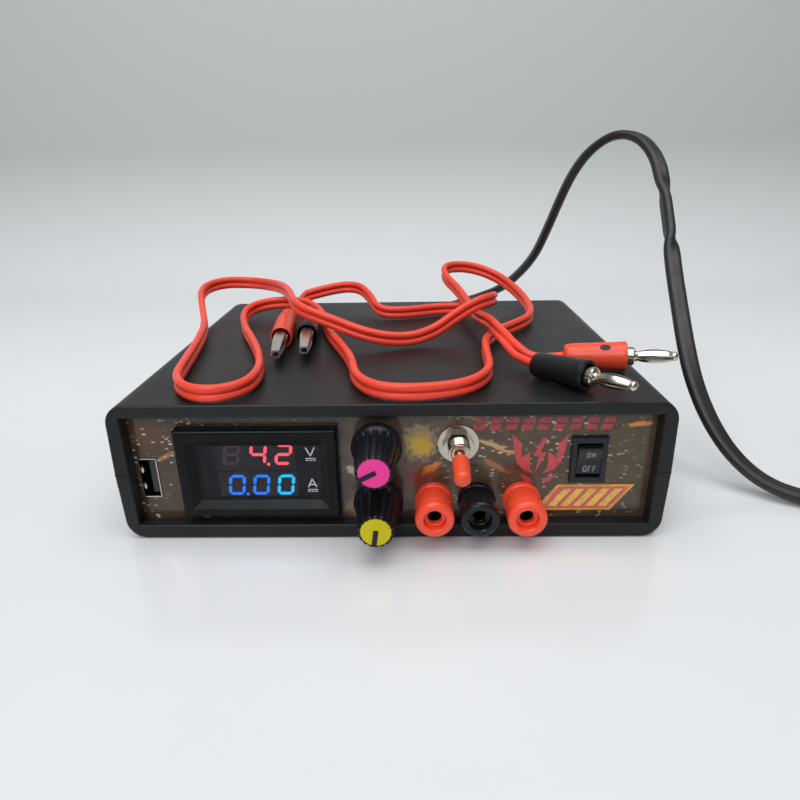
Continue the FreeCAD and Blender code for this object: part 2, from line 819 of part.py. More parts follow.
def make_post_nuts():
    """Behind the panel: insulating washer and hexagon nut on each stud."""
    nuts = []
    for name, x in POSTS.items():
        z = size("post_z")
        washer = cylinder(f"{name}_rear_washer", (x, panel_back, z), "y", 5.4, 1.4)
        nut = hexagon(f"{name}_rear_nut", (x, panel_back + 1.4, z), 8, 2.6)
        hole = cylinder(f"{name}_rear_hole", (x, panel_back - 1, z), "y", size("post_stud_radius"), 7)
        nuts.append(less(f"{name}_rear_set", fused(f"{name}_rear_blank", [washer, nut]), hole))
    return group("post_nuts", nuts)


def make_post_cap(name):
    x, z = POSTS[name], size("post_z")
    gap = size("running_gap")
    rear = collar_front - 0.15
    insert = new_body(f"{name}_post_insert", (x, 0, z))
    thread, brass = size("post_stud_radius") + gap, size("post_insert_radius")
    turn(insert, [(thread, rear), (brass, rear), (brass, stud_front + 0.4), (thread, stud_front + 0.4)])
    cap = new_body(f"{name}_post_cap", (x, 0, z))
    wide, mouth = size("post_cap_radius"), size("post_mouth_radius")
    turn(cap, [(brass + gap, rear), (wide - 0.75, rear), (wide - 0.6, rear - 0.3),
               (wide, rear - 6), (wide, post_front + 0.9), (wide - 0.3, post_front + 0.3),
               (wide - 0.8, post_front), (mouth + 0.3, post_front), (mouth, post_front + 0.3),
               (mouth, stud_front + 0.35), (brass + gap, stud_front + 0.35)])
    tapered_flutes(cap, size("post_flutes"), (rear + 0.1, wide - 0.3, as_size(0.42)),
                   (rear - 6.2, wide + 0.2, as_size(0.42)))
    keep(insert, cap)


# ---------------------------------------------------------------- rear gland and circuit boards
gland_end = rear_face + size("gland_length")
cord_radius = size("cord_width") / 2


def make_gland():
    body = new_body("cord_gland", (size("gland_x"), 0, size("gland_z")))
    turn(body, [(0, -panel_back - 3), (6.4, -panel_back - 3), (6.4, -panel_back), (5.4, -panel_back),
                (5.4, rear_face), (6.8, rear_face), (6.8, rear_face + 2.2), (5.6, rear_face + 3),
                (4.1, gland_end), (cord_radius + 0.03, gland_end), (cord_radius + 0.03, gland_end - 2),
                (0, gland_end - 2)])
    return body


def make_boards():
    level = size("board_level")
    top = level + size("board_thickness")
    board = box("supply_pcb", (-50, -20, level), (46, 42, top))
    inlet = box("mains_terminal", (4, 32, top), (16, 41, top + 10))
    outlet = box("output_terminal", (-2, -19, top), (13, -11, top + 10))
    keep(fused("supply_board", [board, inlet, outlet]))
    core = box("ferrite_core", (-14, 6, top), (10, 26, top + 22))
    winding = box("bobbin", (-19, 9, top), (15, 23, top + 18))
    keep(fused("transformer", [core, winding]))
    cans = [
        cylinder("bulk_capacitor", (-34, 26, top), "z", 9, 25),
        cylinder("output_capacitor_1", (28, 4, top), "z", 5, 20),
        cylinder("output_capacitor_2", (28, -8, top), "z", 5, 20),
    ]
    keep(group("capacitors", cans))
    sinks = []
    for i, (x, y) in enumerate(((-36, 4), (36, 18)), 1):
        plate = box(f"sink_plate_{i}", (x - 1, y - 10, top), (x + 1, y + 10, top + 24))
        fins = [
            box(f"sink_fin_{i}_{k}", (x + 1, y - 9.5 + 4.5 * k, top + 3),
                (x + 7, y - 8.5 + 4.5 * k, top + 24))
            for k in range(5)
        ]
        device = box(f"sink_device_{i}", (x - 5.5, y - 5, top), (x - 1, y + 5, top + 16))
        sinks.append(fused(f"sink_{i}", [plate, *fins, device]))
    keep(group("heatsinks", sinks))
    buck = box("converter_pcb", (-26, -41, level), (40, -22.5, top))
    ring = doc.addObject("Part::Torus", "inductor")
    bind(ring, "Radius1", 6)
    bind(ring, "Radius2", 3)
    place(ring, (26, -31.5, top + 2.6))
    trimmer = box("trimmer", (4, -38, top), (14, -33, top + 10))
    feet = [
        box(f"converter_foot_{i}", (x, -36, size("wall")), (x + 5, -31, level))
        for i, x in enumerate((-25, 34), 1)
    ]
    keep(fused("converter_board", [buck, ring, trimmer, *feet]))


# ---------------------------------------------------------------- cords
def arc_through(before, corner, after):
    """The arc that rounds a route's corner, taking 0.45 of the shorter run on each side."""
    back, ahead = before - corner, after - corner
    reach = 0.45 * min(back.Length, ahead.Length)
    half_turn = (math.pi - back.getAngle(ahead)) / 2
    radius = reach / math.tan(half_turn)
    back.normalize()
    ahead.normalize()
    inward = (back + ahead).normalize()
    middle = corner + inward * (radius / math.cos(half_turn) - radius)
    return corner + back * reach, middle, corner + ahead * reach, radius


def cord_tube(label, route, radius):
    """A round tube along straight runs joined by tangent arcs."""
    points = [Vector(*point) for point in route]
    edges, radii, here = [], [], points[0]
    for before, corner, after in zip(points, points[1:], points[2:]):
        start, middle, end, bend = arc_through(before, corner, after)
        edges.append(Part.LineSegment(here, start).toShape())
        edges.append(Part.Arc(start, middle, end).toShape())
        radii.append(bend)
        here = end
    edges.append(Part.LineSegment(here, points[-1]).toShape())
    wire = Part.Wire(edges)
    section = Part.Wire(Part.Circle(points[0], points[1] - points[0], float(radius)).toShape())
    tube = wire.makePipeShell([section], True, False)
    expected = math.pi * float(radius) ** 2 * wire.Length
    print(f"{label}: length {wire.Length:.1f}, volume ratio {tube.Volume / expected:.4f}, "
          f"tightest radii {[round(r, 1) for r in sorted(radii)[:6]]}")
    return tube


def cord_feature(label, shapes):
    feature = doc.addObject("Part::Feature", label)
    feature.Shape = shapes[0] if len(shapes) == 1 else Part.makeCompound(shapes)
    feature.Placement = Placement()
    return feature


# The twin lead from the plugs' split to the clips' split.
LEAD_ROUTE = [
    (34, -12, 53.6), (33.3, -4, 52.6), (32.2, 5, 50.4), (31, 15, 49.6), (29.5, 27, 51.4),
    (26.5, 38, 54.6), (22.5, 49, 58), (23.5, 58.5, 60.6), (32, 63, 60.6), (43, 61, 57.6),
    (51.5, 52, 53.2), (54.8, 37, 49.6), (53.5, 20, 47.4), (46, 6.5, 46.9), (37.5, -3, 46.9),
    (32, -15, 46.9), (31, -31, 46.9), (30.5, -47, 46.9), (23, -59, 46.9), (9, -63.2, 46.9),
    (-3.5, -61.8, 46.9), (-10.5, -51.5, 46.9), (-12.5, -36, 46.9), (-18, -19, 46.9),
    (-22.8, -2, 46.9), (-25.5, 14, 46.9), (-30, 29, 47.4), (-37.5, 40, 49.8), (-48.5, 44, 50.6),
    (-57.5, 38, 48.8), (-61.5, 25, 47.2), (-57.5, 8, 46.9), (-50, -13, 46.9), (-43.6, -30.5, 46.9),
    (-40.2, -45.5, 46.9), (-41.2, -57.5, 46.9), (-48.5, -63.3, 46.9), (-57.5, -61.5, 46.9),
    (-64, -52, 46.9), (-66.5, -37, 46.9), (-69.5, -16, 46.9), (-74, 8, 47.2), (-79.5, 30, 49.5),
    (-81, 44.5, 52.4), (-76.5, 54.5, 54.6), (-67, 57.5, 56.2), (-57, 51, 57.8), (-48, 37, 58.6),
    (-39, 19, 57.6), (-29.5, 3, 55.2), (-19.5, -8, 52.4), (-8.5, -12, 48.6), (4, -11.5, 46.9),
    (14, -6.5, 48.2), (22.5, -0.5, 52.6), (30.5, 1.5, 57), (37, 7, 57.6), (39.8, 17.5, 55.6),
    (36.8, 29, 51), (29, 37, 47), (17, 36.5, 46.9), (4, 31, 46.9), (-6, 33, 47.2),
    (-12, 43, 48.6), (-21, 52.5, 51), (-32, 51, 53),
]
# Single strands: from the lead's ends to the two plugs and the two clips.
PLUG_TAILS = {
    "black": [(34, -12, 52.25), (35.2, -22, 50.8), (36.6, -30.5, 49.2), (39.9, -36.8, 48.1),
              (44.5, -42.2, 47.9)],
    "red": [(34, -12, 54.95), (37, -21, 53.6), (41.5, -29, 51.4), (47.5, -33.2, 49),
            (55, -34.4, 48)],
}
CLIP_TAILS = {
    "red": [(-32, 51, 51.6), (-37.5, 49.5, 49), (-42, 44.5, 46), (-44, 37, 45.5), (-44.2, 29, 46.8),
            (-43.7, 21.4, 48.6)],
    "black": [(-32, 51, 54.3), (-38, 51.5, 51.5), (-40.2, 46, 46.4), (-38.7, 39.5, 45.6),
              (-36.6, 33, 46.8), (-35, 25.5, 48.6)],
}
MAINS_ROUTE = [
    (8, 84, 20), (8.2, 98, 20), (11, 112, 21.5), (18.5, 123.5, 24), (31, 129.5, 27.5),
    (45, 128.5, 32), (57, 122, 38), (65, 113.5, 47.5), (71.5, 105.5, 58.5), (75.5, 99, 72),
    (79.5, 94.5, 86), (84, 91.5, 99), (90.5, 87, 110), (99.5, 80, 116.5), (107.5, 70, 114.5),
    (111.5, 59, 106.5), (111.5, 49, 97), (111, 39.5, 86.5), (110.5, 30.5, 76), (109.5, 20.5, 65),
    (108.7, 9, 53.5), (107.5, -3, 43), (107.5, -14, 32), (110.5, -24, 21), (116, -33.5, 11.5),
    (124.5, -41.5, 5), (136.5, -48, 3.3), (151, -53, 3.3), (166.5, -57, 3.3), (182.5, -59.6, 3.3),
    (199, -61, 3.3),
]


# ---------------------------------------------------------------- lead ends
def aimed(start, end):
    """A placement whose local X axis runs from start to end, kept upright."""
    along = Vector(*end) - Vector(*start)
    yaw = math.degrees(math.atan2(along.y, along.x))
    pitch = -math.degrees(math.asin(along.z / along.Length))
    return Placement(Vector(*start), Rotation(yaw, pitch, 0))


PLUGS = {
    "black": aimed((44.5, -42.2, 47.9), (61.8, -62.4, 49.4)),
    "red": aimed((55, -34.4, 48), (88.4, -41.4, 49.6)),
}
CLIPS = {
    "red": aimed((-43.7, 21.4, 48.6), (-38.3, -30.4, 48.6)),
    "black": aimed((-35, 25.5, 48.6), (-29.6, -26.3, 48.6)),
}


def make_plug_sleeve(name):
    """Tapered banana-plug sleeve with a screw hole near its front."""
    body = new_body(f"{name}_plug_sleeve")
    body.Placement = PLUGS[name]
    length, rear, front = size("sleeve_length"), size("sleeve_rear_radius"), size("sleeve_front_radius")
    bore = size("plug_pin_radius") - 0.4
    turn(body, [(0, 0), (0, rear - 0.5), (0.5, rear), (length * 0.3, rear + 0.1),
                (length - 1, front), (length, front - 0.8), (length, bore), (6, bore), (6, 0)],
         "H_Axis")
    pocket(body, "XY", as_size(2.2), as_size(6), circle(length - 6, 0, 1.3))
    return body


def make_plug_pins():
    pins = []
    for name, placement in PLUGS.items():
        body = new_body(f"{name}_plug_pin")
        body.Placement = placement
        shoulder, radius = size("sleeve_length"), size("plug_pin_radius")
        tip = shoulder + 3.2 + size("plug_pin_length")
        turn(body, [(6, 0), (6, radius - 0.4), (shoulder, radius - 0.4), (shoulder, radius + 0.9),
                    (shoulder + 2.4, radius + 0.9), (shoulder + 2.4, radius - 0.3),
                    (shoulder + 3.2, radius - 0.3), (shoulder + 3.4, radius),
                    (tip - 2, radius), (tip - 0.6, radius - 0.7), (tip, radius - 1.5), (tip, 0)],
             "H_Axis")
        pins.append(body)
    return group("plug_pins", pins)


def saw_teeth(start, end, level, height, count):
    """Corners of a row of teeth, from start to end."""
    pitch = (end - start) / count
    corners = []
    for i in range(count):
        corners.append((start + pitch * i, level))
        corners.append((start + pitch * (i + 0.8), level + height))
    return corners + [(end, level)]


def make_clip_lower_jaw(name):
    body = new_body(f"{name}_lower_jaw")
    body.Placement = CLIPS[name]
    half, metal, tip = size("clip_half_width"), size("clip_metal"), size("clip_tip")
    pad(body, "XZ", -half, half,
        [(12, -2.7), (29, -2.7), (34, -2.3), (46, -2.2), (tip, -1.2), (tip, -0.15)]
        + saw_teeth(tip, 42, -0.15, -0.5, 8)[1:]
        + [(33.6, -0.15), (33.6, 1.2), (29.5, 1.2), (28.6, -2.1), (12, -2.1)])
    pocket(body, "XZ", metal - half, half - metal,
           [(28, -2.1), (34, -1.7), (46, -1.6), (52.6, -0.8), (52.6, 2), (28, 2)])
    pocket(body, "XZ", -half - 1, half + 1, circle(size("clip_pivot"), 0, 0.8))
    return body


def make_clip_upper_jaw(name):
    """Thumb lever, two ears that nest inside the lower jaw's, and the upper jaw."""
    body = new_body(f"{name}_clip_upper_jaw")
    body.Placement = CLIPS[name]
    half, metal, tip = size("clip_half_width"), size("clip_metal"), size("clip_tip") + 0.2
    ear = half - metal - 0.1
    pad(body, "XZ", -ear, ear,
        [(29.4, -0.9), (33.4, -0.9), (35.5, 0.6), (35.5, 2.3), (29, 2.9), (13, 3.1), (13, 2.5), (29, 2.3)])
    pad(body, "XZ", -half, half,
        [(34.3, 2.35), (34.3, 0.15), (42, 0.15)] + saw_teeth(42, tip, 0.15, 0.5, 8)[1:]
        + [(tip, 1.3), (46, 2.3)])
    pocket(body, "XZ", metal - ear, ear - metal,
           [(28, -2), (36, -2), (36, 1.7), (29, 2.05), (28, 2.05)])
    pocket(body, "XZ", metal - half, half - metal,
           [(35.6, -1), (52.8, -1), (52.8, 0.8), (46, 1.7), (35.6, 1.7)])
    pocket(body, "XZ", -half - 1, half + 1,
           circle(size("clip_pivot"), 0, 0.8 + size("running_gap")))
    return body


def make_clip_pins():
    pins = []
    for name, placement in CLIPS.items():
        body = new_body(f"{name}_clip_pin")
        body.Placement = placement
        reach = size("clip_half_width") + 0.25
        pad(body, "XZ", -reach, reach, circle(size("clip_pivot"), 0, 0.8))
        pins.append(body)
    return group("clip_pins", pins)


def make_clip_springs():
    """Torsion spring round each pin, with one leg on the lower jaw."""
    springs = []
    for name, placement in CLIPS.items():
        body = new_body(f"{name}_clip_spring")
        body.Placement = placement
        x = size("clip_pivot")
        pad(body, "XZ", as_size(-0.6), as_size(0.6), circle(x, 0, 1.45))
        pad(body, "XZ", as_size(-0.6), as_size(-0.2),
            [(x - 9, -2.05), (x - 9, -1.65), (x - 1, -0.95), (x - 1, -1.35)])
        pocket(body, "XZ", as_size(-2), as_size(2), circle(x, 0, 0.9))
        springs.append(body)
    return group("clip_springs", springs)


def make_clip_boot(name):
    body = new_body(f"{name}_clip_boot")
    body.Placement = CLIPS[name]
    wide, wall, length = size("boot_radius"), size("boot_wall"), size("boot_length")
    turn(body, [(0, 0), (0, 2.9), (1, 3.2), (11, wide), (length, wide), (length, wide - wall),
                (11, wide - wall), (2.5, 2.6), (2.5, 0)], "H_Axis")
    return body


# ---------------------------------------------------------------- mains coil and plug
coil_radius = size("coil_mean_radius")


def make_coil():
    """The closed outer shape of the stored turns."""
    x, y = size("coil_x"), size("coil_y")
    half = size("coil_width") / 2
    body = new_body("mains_coil", (x, y, 0))
    outline = rectangle(coil_radius - half, 0, coil_radius + half, size("coil_height"))
    sketch = new_sketch(body, "XZ", as_size(0), [outline])
    ring = body.newObject("PartDesign::Revolution", "coil_ring")
    ring.Profile = sketch
    ring.ReferenceAxis = (sketch, ["V_Axis"])
    ring.Angle = 360
    dress(body, "Fillet", as_size(2), lambda edge: True)
    return body


def make_mains_plug():
    """Flat two-pin plug lying on the coil, along its right-hand side."""
    x, y = size("coil_x") + coil_radius, size("coil_y")
    low = size("coil_height")
    body = new_body("mains_plug_body", (x, y, low))
    pad(body, "XY", as_size(0), as_size(13.5),
        [(-4, -17.5), (4, -17.5), (7, -13), (13, 13), (13, 17), (-13, 17), (-13, 13), (-7, -13)])
    dress(body, "Fillet", as_size(2.2), lambda edge: runs_along(edge, "z"))
    dress(body, "Fillet", as_size(2), lambda edge: edge.CenterOfMass.z < 0.01
          or edge.CenterOfMass.z > 13.49)
    pins = [
        cylinder(f"mains_pin_{i}", (x + side * size("mains_pin_spacing") / 2, y + 17, low + 6.75),
                 "y", size("mains_pin_radius"), size("mains_pin_length"))
        for i, side in enumerate((-1, 1), 1)
    ]
    keep(body, group("mains_plug_pins", pins))


# ---------------------------------------------------------------- assembly
keep(make_bottom_tray(), make_top_cover(), make_case_screws())
keep(make_front_panel(), make_rear_panel())
keep(make_meter_bezel(), make_meter_window(), make_meter_board())
make_socket()
keep(make_pots(), make_pot_nuts())
for knob_name, knob_z in KNOBS.items():
    make_knob(knob_name, knob_z)
make_toggle()
make_rocker()
keep(make_post_studs(), make_post_nuts(), make_collar("centre", "black_post_collar"))
keep(group("red_post_collars", [make_collar("left"), make_collar("right")]))
for post_name in POSTS:
    make_post_cap(post_name)
keep(make_gland())
make_boards()
keep(cord_feature("test_lead", [cord_tube("test_lead", LEAD_ROUTE, size("lead_width") / 2)]))
for tails_name, tails in (("plug_tails", PLUG_TAILS), ("clip_tails", CLIP_TAILS)):
    strands = [cord_tube(f"{tails_name} {key}", route, size("strand_radius"))
               for key, route in tails.items()]
    keep(cord_feature(tails_name, strands))
keep(make_plug_sleeve("black"), make_plug_sleeve("red"), make_plug_pins())
keep(group("clip_lower_jaws", [make_clip_lower_jaw(name) for name in CLIPS]))
keep(make_clip_upper_jaw("red"), make_clip_upper_jaw("black"))
keep(make_clip_pins(), make_clip_springs(), make_clip_boot("red"), make_clip_boot("black"))
keep(cord_feature("mains_cord", [cord_tube("mains_cord", MAINS_ROUTE, cord_radius)]))
keep(make_coil())
make_mains_plug()
doc.recompute()


# ---------------------------------------------------------------- checks and export
def check_features():
    for thing in doc.Objects:
        if {"Invalid", "Error"} & set(thing.State):
            raise RuntimeError(f"{thing.Name} failed: {thing.State}")
        if thing.TypeId in ("PartDesign::Pocket", "PartDesign::Groove", "PartDesign::SubtractiveLoft"):
            before = thing.BaseFeature.Shape.Volume
            if thing.Shape.Volume > before - 1e-4:
                raise RuntimeError(f"{thing.Name} cuts nothing")


def check_node(thing):
    shape = thing.Shape
    if shape.isNull() or not shape.isValid() or not shape.Solids:
        raise RuntimeError(f"{thing.Label} has no valid solid")


check_features()
os.makedirs("parts", exist_ok=True)
for node in nodes:
    check_node(node)
    node.Shape.exportStep(f"parts/{node.Label}.step")
for clip_name, clip in CLIPS.items():
    pivot = clip.multVec(Vector(float(size("clip_pivot")), 0, 0))
    hinge = clip.Rotation.multVec(Vector(0, -1, 0))
    print(f"{clip_name} clip pivot {tuple(round(v, 3) for v in pivot)}, "
          f"axis {tuple(round(v, 5) for v in hinge)}")
print(f"{len(nodes)} nodes, {sum(len(node.Shape.Solids) for node in nodes)} solids")
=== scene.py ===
"""Looks of a bench battery charger: case, meter, controls, binding posts, test lead and mains cord."""

import json
import math

import bmesh
import bpy
from mathutils import Matrix, Vector


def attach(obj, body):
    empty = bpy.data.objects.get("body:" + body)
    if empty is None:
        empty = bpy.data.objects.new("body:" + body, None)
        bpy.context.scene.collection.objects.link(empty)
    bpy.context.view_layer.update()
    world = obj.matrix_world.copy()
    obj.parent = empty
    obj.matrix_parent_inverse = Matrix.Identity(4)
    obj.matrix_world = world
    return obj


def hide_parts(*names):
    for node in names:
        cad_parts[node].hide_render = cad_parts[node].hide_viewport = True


MM = 0.001
UP = Vector((0, 0, 1))
TOWARDS_VIEWER = Vector((0, -1, 0))

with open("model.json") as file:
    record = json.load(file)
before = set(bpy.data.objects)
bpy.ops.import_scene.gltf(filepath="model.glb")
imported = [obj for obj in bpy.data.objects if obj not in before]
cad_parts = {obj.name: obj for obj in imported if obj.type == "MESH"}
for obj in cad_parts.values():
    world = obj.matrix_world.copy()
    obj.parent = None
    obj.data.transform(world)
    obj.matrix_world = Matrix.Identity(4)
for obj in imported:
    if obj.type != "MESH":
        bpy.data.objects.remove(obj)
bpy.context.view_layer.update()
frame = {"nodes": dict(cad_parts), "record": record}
bpy.context.scene.view_settings.view_transform = "Standard"


# ---------------------------------------------------------------- materials
class Graph:
    """A material whose nodes are added one call at a time."""

    def __init__(self, name, roughness=0.5, metallic=0.0, **sockets):
        self.material = bpy.data.materials.new(name)
        self.material.use_nodes = True
        self.tree = self.material.node_tree
        self.shader = self.tree.nodes["Principled BSDF"]
        self.shader.inputs["Roughness"].default_value = roughness
        self.shader.inputs["Metallic"].default_value = metallic
        for socket, value in sockets.items():
            self.shader.inputs[socket.replace("_", " ")].default_value = value
        self.place = self.node("ShaderNodeTexCoord").outputs["Object"]

    def node(self, kind, inputs=None, **settings):
        made = self.tree.nodes.new(kind)
        for key, value in settings.items():
            setattr(made, key, value)
        for key, value in (inputs or {}).items():
            if isinstance(value, bpy.types.NodeSocket):
                self.tree.links.new(value, made.inputs[key])
            else:
                made.inputs[key].default_value = value
        return made

    def feed(self, socket, value):
        self.tree.links.new(value, self.shader.inputs[socket])

    def noise(self, size_mm, detail=3.0, place=None, rough=0.5, distortion=0.0):
        inputs = {"Vector": place or self.place, "Scale": 1 / (size_mm * MM), "Detail": detail,
                  "Roughness": rough, "Distortion": distortion}
        return self.node("ShaderNodeTexNoise", inputs).outputs["Fac"]

    def cells(self, size_mm, place=None):
        inputs = {"Vector": place or self.place, "Scale": 1 / (size_mm * MM)}
        return self.node("ShaderNodeTexVoronoi", inputs).outputs["Distance"]

    def math(self, operation, first, second=0.0):
        return self.node("ShaderNodeMath", {0: first, 1: second}, operation=operation).outputs[0]

    def between(self, value, low, high, to_low=0.0, to_high=1.0):
        """value from low to high, carried over to the range to_low to to_high."""
        inputs = {"Value": value, "From Min": low, "From Max": high,
                  "To Min": to_low, "To Max": to_high}
        return self.node("ShaderNodeMapRange", inputs).outputs["Result"]

    def clouds(self, size_mm, detail, low=0.3, high=0.7, to_low=0.0, to_high=1.0):
        """Noise whose values from low to high are carried over to to_low to to_high."""
        return self.between(self.noise(size_mm, detail), low, high, to_low, to_high)

    def mix(self, share, first, second):
        made = self.node("ShaderNodeMix", data_type="RGBA")
        for index, value in ((0, share), (6, first), (7, second)):
            if isinstance(value, bpy.types.NodeSocket):
                self.tree.links.new(value, made.inputs[index])
            elif index:
                made.inputs[index].default_value = (*value, 1)
            else:
                made.inputs[index].default_value = value
        return made.outputs[2]

    def tint(self, base, share, strength, colour):
        """base with colour over it, as strong as share times strength."""
        return self.mix(self.math("MULTIPLY", share, strength), base, colour)

    def turned(self, angle, scale):
        """The object's coordinates turned about Y and scaled."""
        inputs = {"Vector": self.place, "Rotation": (0, angle, 0), "Scale": scale}
        return self.node("ShaderNodeMapping", inputs).outputs[0]

    def ramp(self, value, stops):
        made = self.node("ShaderNodeValToRGB", {"Fac": value})
        elements = made.color_ramp.elements
        while len(elements) < len(stops):
            elements.new(0.5)
        for element, (position, colour) in zip(elements, stops):
            element.position = position
            element.color = (*colour, 1)
        return made.outputs["Color"]

    def relief(self, height, depth_mm, strength=1.0):
        inputs = {"Height": height, "Distance": depth_mm * MM, "Strength": strength}
        return self.node("ShaderNodeBump", inputs).outputs["Normal"]


def shade(colour, factor):
    """A darker or lighter version of a colour."""
    return tuple(min(1.0, part * factor) for part in colour)


def moulded(name, colour, roughness, grain=0.35, depth=0.02, vary=0.12, gloss=0.5):
    """Moulded plastic or rubber: fine grain, with uneven colour and gloss."""
    g = Graph(name, roughness, Specular_IOR_Level=gloss)
    g.feed("Base Color", g.mix(g.clouds(9.0, 4.0), shade(colour, 1 - vary), shade(colour, 1 + vary)))
    g.feed("Roughness", g.clouds(3.5, 5.0, 0.3, 0.7, roughness - 0.06, roughness + 0.06))
    g.feed("Normal", g.relief(g.noise(grain, 2.0), depth))
    return g.material


def metal(name, colour, roughness, stretch=(1.0, 1.0, 1.0), depth=0.004):
    """Plated or turned metal: faint tool marks along one axis, and uneven gloss."""
    g = Graph(name, roughness, 1.0)
    lines = g.noise(0.25, 3.0, g.turned(0, stretch))
    g.feed("Base Color", g.mix(g.clouds(4.0, 3.0), shade(colour, 0.9), shade(colour, 1.05)))
    g.feed("Roughness", g.between(lines, 0.3, 0.7, roughness * 0.75, roughness * 1.35))
    g.feed("Normal", g.relief(lines, depth))
    return g.material


def case_finish():
    """Dark plastic with a fine spark texture, faint scuffs and a little dust."""
    g = Graph("case_finish", 0.42, Specular_IOR_Level=0.3)
    dust = g.between(g.noise(0.8, 6.0, rough=0.7), 0.66, 0.74)
    base = g.mix(g.clouds(35.0, 3.0), (0.009, 0.0095, 0.0105), (0.014, 0.0145, 0.016))
    g.feed("Base Color", g.tint(base, dust, 0.12, (0.3, 0.3, 0.29)))
    g.feed("Roughness", g.clouds(22.0, 5.0, 0.3, 0.7, 0.37, 0.47))
    g.feed("Normal", g.relief(g.noise(0.32, 3.0), 0.03, 0.8))
    return g.material


PANEL_HALF = 77


def decal_finish():
    """Glossy printed film: abstract brown and beige print with orange streaks and pale speckles."""
    g = Graph("decal_finish", 0.3, Coat_Weight=0.7, Coat_Roughness=0.03, Coat_IOR=1.42,
              Specular_IOR_Level=0.3)
    spot = g.node("ShaderNodeSeparateXYZ", {"Vector": g.place})
    across = g.between(spot.outputs["X"], -PANEL_HALF * MM, PANEL_HALF * MM)
    base = g.ramp(across, [(0.0, (0.072, 0.044, 0.022)), (0.25, (0.084, 0.056, 0.032)),
                           (0.46, (0.115, 0.086, 0.056)), (0.62, (0.125, 0.096, 0.062)),
                           (0.8, (0.086, 0.062, 0.034)), (1.0, (0.086, 0.062, 0.034))])
    slanted = g.turned(0.75, (0.7, 1, 1.2))
    patches = g.between(g.noise(8.0, 5.0, slanted, 0.6, 0.6), 0.42, 0.62)
    base = g.mix(patches, base, g.ramp(across, [(0.0, (0.036, 0.021, 0.012)),
                                                (0.4, (0.066, 0.050, 0.040)),
                                                (0.75, (0.080, 0.040, 0.020)),
                                                (1.0, (0.060, 0.042, 0.024))]))
    rust = g.between(g.noise(5.0, 6.0, slanted, 0.7, 1.2), 0.60, 0.68)
    base = g.tint(base, rust, 0.5, (0.26, 0.085, 0.035))
    pale = g.between(g.noise(4.0, 6.0, slanted, 0.75, 0.8), 0.64, 0.7)
    base = g.tint(base, pale, 0.45, (0.36, 0.30, 0.23))
    for centre, radii, turn, colour, strength in DECAL_BLOTS:
        base = g.mix(blot(g, centre, radii, turn, strength), base, colour)
    busy = g.ramp(across, [(0.0, (1, 1, 1)), (0.11, (1, 1, 1)), (0.17, (0.1, 0.1, 0.1)),
                           (0.56, (0.1, 0.1, 0.1)), (0.64, (0.9, 0.9, 0.9)), (0.9, (0.8, 0.8, 0.8)),
                           (1.0, (0.15, 0.15, 0.15))])
    leaning = g.turned(-0.45, (0.55, 1, 1.1))
    for size, reach, colour in ((1.5, 0.24, (0.58, 0.50, 0.38)), (2.6, 0.17, (0.70, 0.62, 0.50))):
        specks = g.between(g.cells(size, leaning), reach * 0.6, reach, 1.0, 0.0)
        where = g.math("MULTIPLY", busy, g.clouds(9.0, 2.0, 0.40, 0.48))
        base = g.tint(base, specks, where, colour)
    streaks = g.between(g.noise(2.6, 3.0, g.turned(-0.35, (0.3, 1, 1.8))), 0.68, 0.72)
    g.feed("Base Color", g.tint(base, streaks, busy, (0.46, 0.22, 0.10)))
    g.feed("Roughness", g.clouds(6.0, 4.0, 0.3, 0.7, 0.18, 0.3))
    g.feed("Normal", g.relief(g.noise(2.5, 2.0), 0.01, 0.35))
    return g.material


# Soft patches of the print: centre and radii in millimetres on the panel, turn in degrees,
# colour, and how strongly it covers what is under it.
DECAL_BLOTS = [
    ((8.6, 29.4), (6.6, 7.4), 0, (0.27, 0.22, 0.12), 0.9),
    ((8.8, 30.6), (5.2, 4.6), 0, (0.38, 0.27, 0.07), 0.9),
    ((9.2, 28.6), (4.6, 3.6), 0, (0.55, 0.36, 0.02), 1.0),
    ((8.5, 19.0), (5.5, 4.5), 25, (0.24, 0.035, 0.02), 0.8),
    ((12.0, 21.5), (3.6, 1.6), 30, (0.62, 0.22, 0.03), 0.9),
    ((-8.5, 19.5), (7.0, 1.8), -24, (0.50, 0.47, 0.42), 1.0),
    ((30, 29.0), (5.4, 0.9), -20, (0.62, 0.36, 0.16), 1.0),
    ((34.5, 26.8), (3.4, 0.7), -14, (0.66, 0.34, 0.10), 0.9),
    ((31, 22.2), (5.0, 1.0), -30, (0.42, 0.15, 0.07), 0.9),
    ((24, 37.5), (7.0, 0.7), -14, (0.40, 0.24, 0.13), 0.8),
    ((72, 35.4), (4.6, 1.0), 3, (0.74, 0.27, 0.035), 1.0),
    ((-71, 33), (7.0, 4.0), 0, (0.12, 0.045, 0.022), 0.8),
    ((-67, 26), (5.0, 0.8), 28, (0.50, 0.20, 0.08), 0.8),
    ((-11, 8), (4.0, 4.0), 0, (0.30, 0.15, 0.09), 0.7),
]


def blot(g, centre, radii, turn, strength):
    """Share of a soft elliptical patch, one at its middle and none outside it."""
    place = Vector((centre[0] * MM, 0, centre[1] * MM))
    mapped = g.node("ShaderNodeMapping", {
        "Vector": g.place, "Location": place, "Rotation": (0, -math.radians(turn), 0),
        "Scale": (radii[0] * MM, 1, radii[1] * MM)}, vector_type="TEXTURE").outputs[0]
    flat = g.node("ShaderNodeVectorMath", {0: mapped, 1: (1, 0, 1)}, operation="MULTIPLY").outputs[0]
    distance = g.node("ShaderNodeVectorMath", {0: flat}, operation="LENGTH").outputs["Value"]
    ragged = g.math("ADD", distance, g.clouds(1.1, 5.0, 0.3, 0.7, -0.3, 0.3))
    return g.between(ragged, 0.6, 1.0, strength, 0.0)


